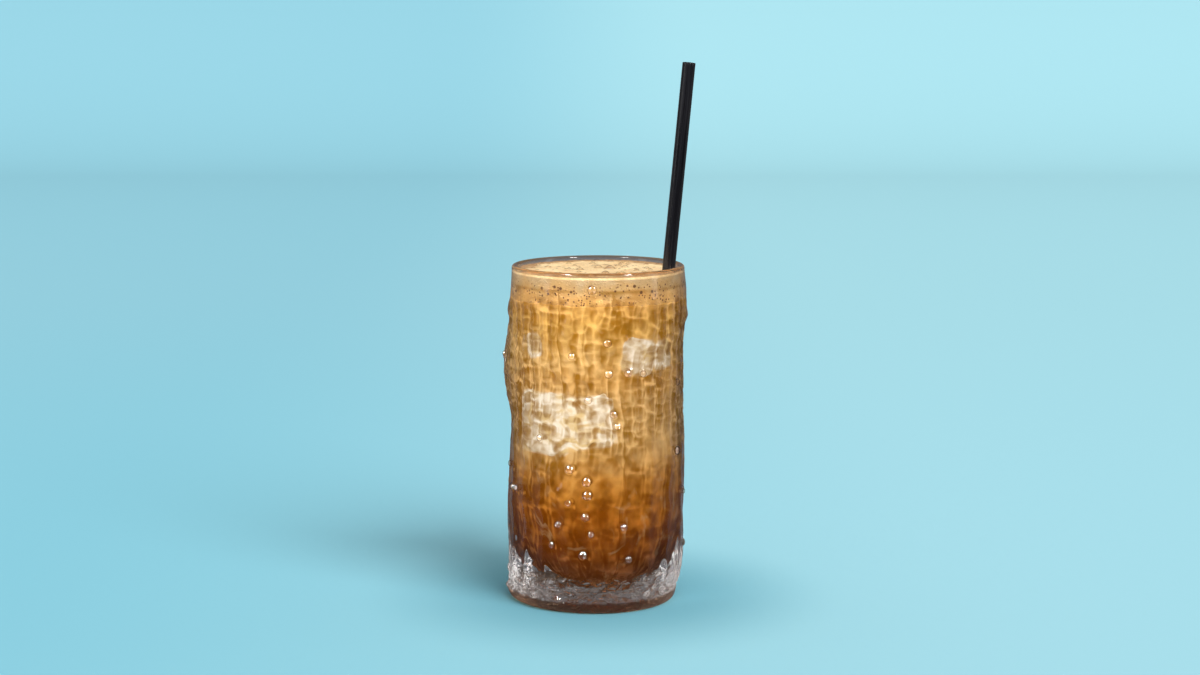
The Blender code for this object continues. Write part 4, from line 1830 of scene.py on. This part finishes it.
@dataclass
class Studio:
    """The pale blue table that curves up behind, the soft lights and the camera."""

    target: Vector = field(default_factory=lambda: Vector((0, 0, 75 * MM)))
    shadow_level: float = 0.83
    dome_level: float = 0.30
    camera_place: tuple[float, float, float] = (0.0009, -0.943, 0.249)
    camera_tilt: float = 81.8
    camera_lens: float = 66.24
    lamps: tuple[Lamp, ...] = (
        Lamp("front_softbox", -98, 34, 1.6, 0.5, 0.9, 1.58, Gives.SHADING),
        Lamp("top_softbox", 90, 82, 1.6, 0.5, 0.5, 0.10, Gives.SHADING),
        Lamp("back_softbox", 84, 34, 1.6, 0.5, 0.9, 0.60, Gives.SHADING),
        Lamp("left_strip", -160, 20, 1.6, 0.3, 1.2, 0.09),
        Lamp("right_strip", -12, 20, 1.6, 0.3, 1.2, 0.07),
        Lamp("left_glint", -136, 40, 1.2, 0.24, 0.24, 0.9, Gives.GLINTS),
        Lamp("right_glint", -46, 40, 1.2, 0.24, 0.24, 0.9, Gives.GLINTS),
        Lamp("left_sparkle", -140, 35, 1.2, 0.7, 0.7, 14.0, Gives.SPARKLES),
        Lamp("right_sparkle", -40, 35, 1.2, 0.7, 0.7, 14.0, Gives.SPARKLES),
    )

    def build(self, pieces: list[bpy.types.Object]) -> None:
        """Sets up everything round the glass.

        Args:
            pieces: Every piece of the drink, the glass first and the drops of glass on it second.
        """
        bpy.context.scene.view_settings.view_transform = "Standard"
        lit = bpy.data.collections.new("lit_by_softboxes")
        for piece in pieces:
            lit.objects.link(piece)
        glass, drops = pieces[:2]
        see_through = bpy.data.collections.new("no_shadow_in_softboxes")
        see_through.objects.link(glass)
        see_through.objects.link(drops)
        sparkling = bpy.data.collections.new("lit_by_sparkles")
        sparkling.objects.link(drops)
        for held in see_through.collection_objects:
            held.light_linking.link_state = "EXCLUDE"
        for lamp in self.lamps:
            lamp.build(self.target, sparkling if lamp.gives is Gives.SPARKLES else lit, see_through)
        self._table_lamps(self._sweep())
        self._room()
        self._camera()

    def _table_lamps(self, table: bpy.types.Object) -> None:
        """The lights for the table alone: one throws the shadow to the left, one is as wide as a sky.

        Args:
            table: The table.
        """
        lit = bpy.data.collections.new("lit_by_table_light")
        lit.objects.link(table)
        for name, level, angle, tilt in (
            ("table_light", self.shadow_level, 40, 53),
            ("table_dome", self.dome_level, 150, 6),
        ):
            data = bpy.data.lights.new(name, "SUN")
            data.energy = level * math.pi
            data.angle = math.radians(angle)
            lamp = bpy.data.objects.new(name, data)
            lamp.rotation_euler = (math.radians(tilt), 0, math.radians(37))
            bpy.context.scene.collection.objects.link(lamp)
            lamp.light_linking.receiver_collection = lit

    def _room(self) -> None:
        """The white ceiling, dim walls and dark side toward the camera that the glass mirrors."""
        world = bpy.data.worlds.new("studio")
        world.use_nodes = True
        tree = world.node_tree
        sky = tree.nodes["Background"]
        split = tree.nodes.new("ShaderNodeSeparateXYZ")
        tree.links.new(tree.nodes.new("ShaderNodeTexCoord").outputs["Generated"], split.inputs[0])
        parts = {}
        for name, source, low, high, start, end in (
            ("ceiling", "Z", 0.25, 0.95, 0.0, 0.13),
            ("behind", "Y", -0.25, 0.75, 0.03, 0.18),
        ):
            part = tree.nodes.new("ShaderNodeMapRange")
            part.interpolation_type = "SMOOTHSTEP"
            part.inputs["From Min"].default_value = low
            part.inputs["From Max"].default_value = high
            part.inputs["To Min"].default_value = start
            part.inputs["To Max"].default_value = end
            tree.links.new(split.outputs[source], part.inputs["Value"])
            parts[name] = part.outputs["Result"]
        both = tree.nodes.new("ShaderNodeMath")
        both.operation = "ADD"
        tree.links.new(parts["ceiling"], both.inputs[0])
        tree.links.new(parts["behind"], both.inputs[1])
        tree.links.new(both.outputs[0], sky.inputs["Strength"])
        sky.inputs["Color"].default_value = (1, 1, 1, 1)
        bpy.context.scene.world = world

    def _sweep(self) -> bpy.types.Object:
        """The table top and its curve up behind the glass.

        Returns:
            The table.
        """
        side = [(-2.2, 0.0), (-0.6, 0.0), (0.0, 0.0), (0.6, 0.0), (2.6, 0.0)]
        turns = np.radians(np.linspace(0, 90, 16))[1:]
        side += [(2.6 + 0.9 * math.sin(t), 0.9 - 0.9 * math.cos(t)) for t in turns]
        side.append((3.5, 1.6))
        across = (-3.0, -1.0, 0.0, 1.0, 3.0)
        points = [(x, y, z - 0.2 * MM) for y, z in side for x in across]
        wide = len(across)
        faces = [
            (row * wide + i, row * wide + i + 1, (row + 1) * wide + i + 1, (row + 1) * wide + i)
            for row in range(len(side) - 1)
            for i in range(wide - 1)
        ]
        mesh = bpy.data.meshes.new("blue_table")
        mesh.from_pydata(points, [], faces)
        mesh.shade_smooth()
        table = bpy.data.objects.new("blue_table", mesh)
        bpy.context.scene.collection.objects.link(table)
        mesh.materials.append(self._table_finish().material)
        return table

    def _table_finish(self) -> Finish:
        """Pale blue paper to the eye, painted lighter to the right and toward the back and with a painted
        shadow round the glass's foot, and plain grey to the light that it throws on the glass.

        Returns:
            The material.
        """
        finish = Finish("pale_blue_table")
        split = finish.tree.nodes.new("ShaderNodeSeparateXYZ")
        finish.link(finish.place(), split.inputs[0])
        # painted light: the paper is painted lighter to the right and toward the back
        right = finish.fit(split.outputs["X"], -0.30, 0.22)
        far = finish.fit(split.outputs["Y"], -0.25, 1.2)
        near_tone = finish.blend(right, Colour(143, 212, 230), Colour(172, 228, 241))
        far_tone = finish.blend(right, Colour(152, 211, 227), Colour(172, 226, 237))
        squares = [finish.calc("MULTIPLY", split.outputs[axis], split.outputs[axis]) for axis in ("X", "Y")]
        away = finish.calc("POWER", finish.calc("ADD", *squares), 0.5)
        open_tone = finish.blend(far, near_tone, far_tone)
        # painted shadow: the paper is painted darker round the glass's foot
        finish.colour(finish.blend(finish.fit(away, 0.11, 0.033), open_tone, Colour(128, 192, 209)))
        finish.set(Roughness=0.9, Specular_IOR_Level=0.0)
        plain = finish.tree.nodes.new("ShaderNodeBsdfDiffuse")
        past = finish.fit(split.outputs["Y"], -0.16, 0.0)
        finish.link(finish.blend(past, Colour(40, 40, 42), Colour(118, 119, 123)), plain.inputs["Color"])
        path = finish.tree.nodes.new("ShaderNodeLightPath")
        both = finish.tree.nodes.new("ShaderNodeMixShader")
        finish.link(path.outputs["Is Camera Ray"], both.inputs["Fac"])
        finish.link(plain.outputs[0], both.inputs[1])
        finish.link(finish.shader.outputs[0], both.inputs[2])
        finish.link(both.outputs[0], finish.output.inputs["Surface"])
        return finish

    def _camera(self) -> None:
        """The camera, a little above the rim and looking slightly down."""
        data = bpy.data.cameras.new("camera")
        data.lens = self.camera_lens
        data.sensor_width = 36
        data.clip_start = 0.01
        camera = bpy.data.objects.new("camera", data)
        camera.location = self.camera_place
        camera.rotation_euler = (math.radians(self.camera_tilt), 0, 0)
        bpy.context.scene.collection.objects.link(camera)
        bpy.context.scene.camera = camera


def main() -> None:
    """Builds every piece in order, and the studio round them."""
    bark = Bark()
    cavity = Cavity()
    straw = Straw()
    focus = Focus(bark, cavity)
    ice = Ice(cavity, focus)
    pieces = [
        Tumbler(bark, cavity).build(),
        Pearls(bark).build(),
        Coffee(cavity, focus, ice, straw).build(),
        *ice.build(),
        *FoamHead(cavity, focus, straw).build(),
        straw.build(),
    ]
    Studio().build(pieces)


if __name__ == "__main__":
    main()
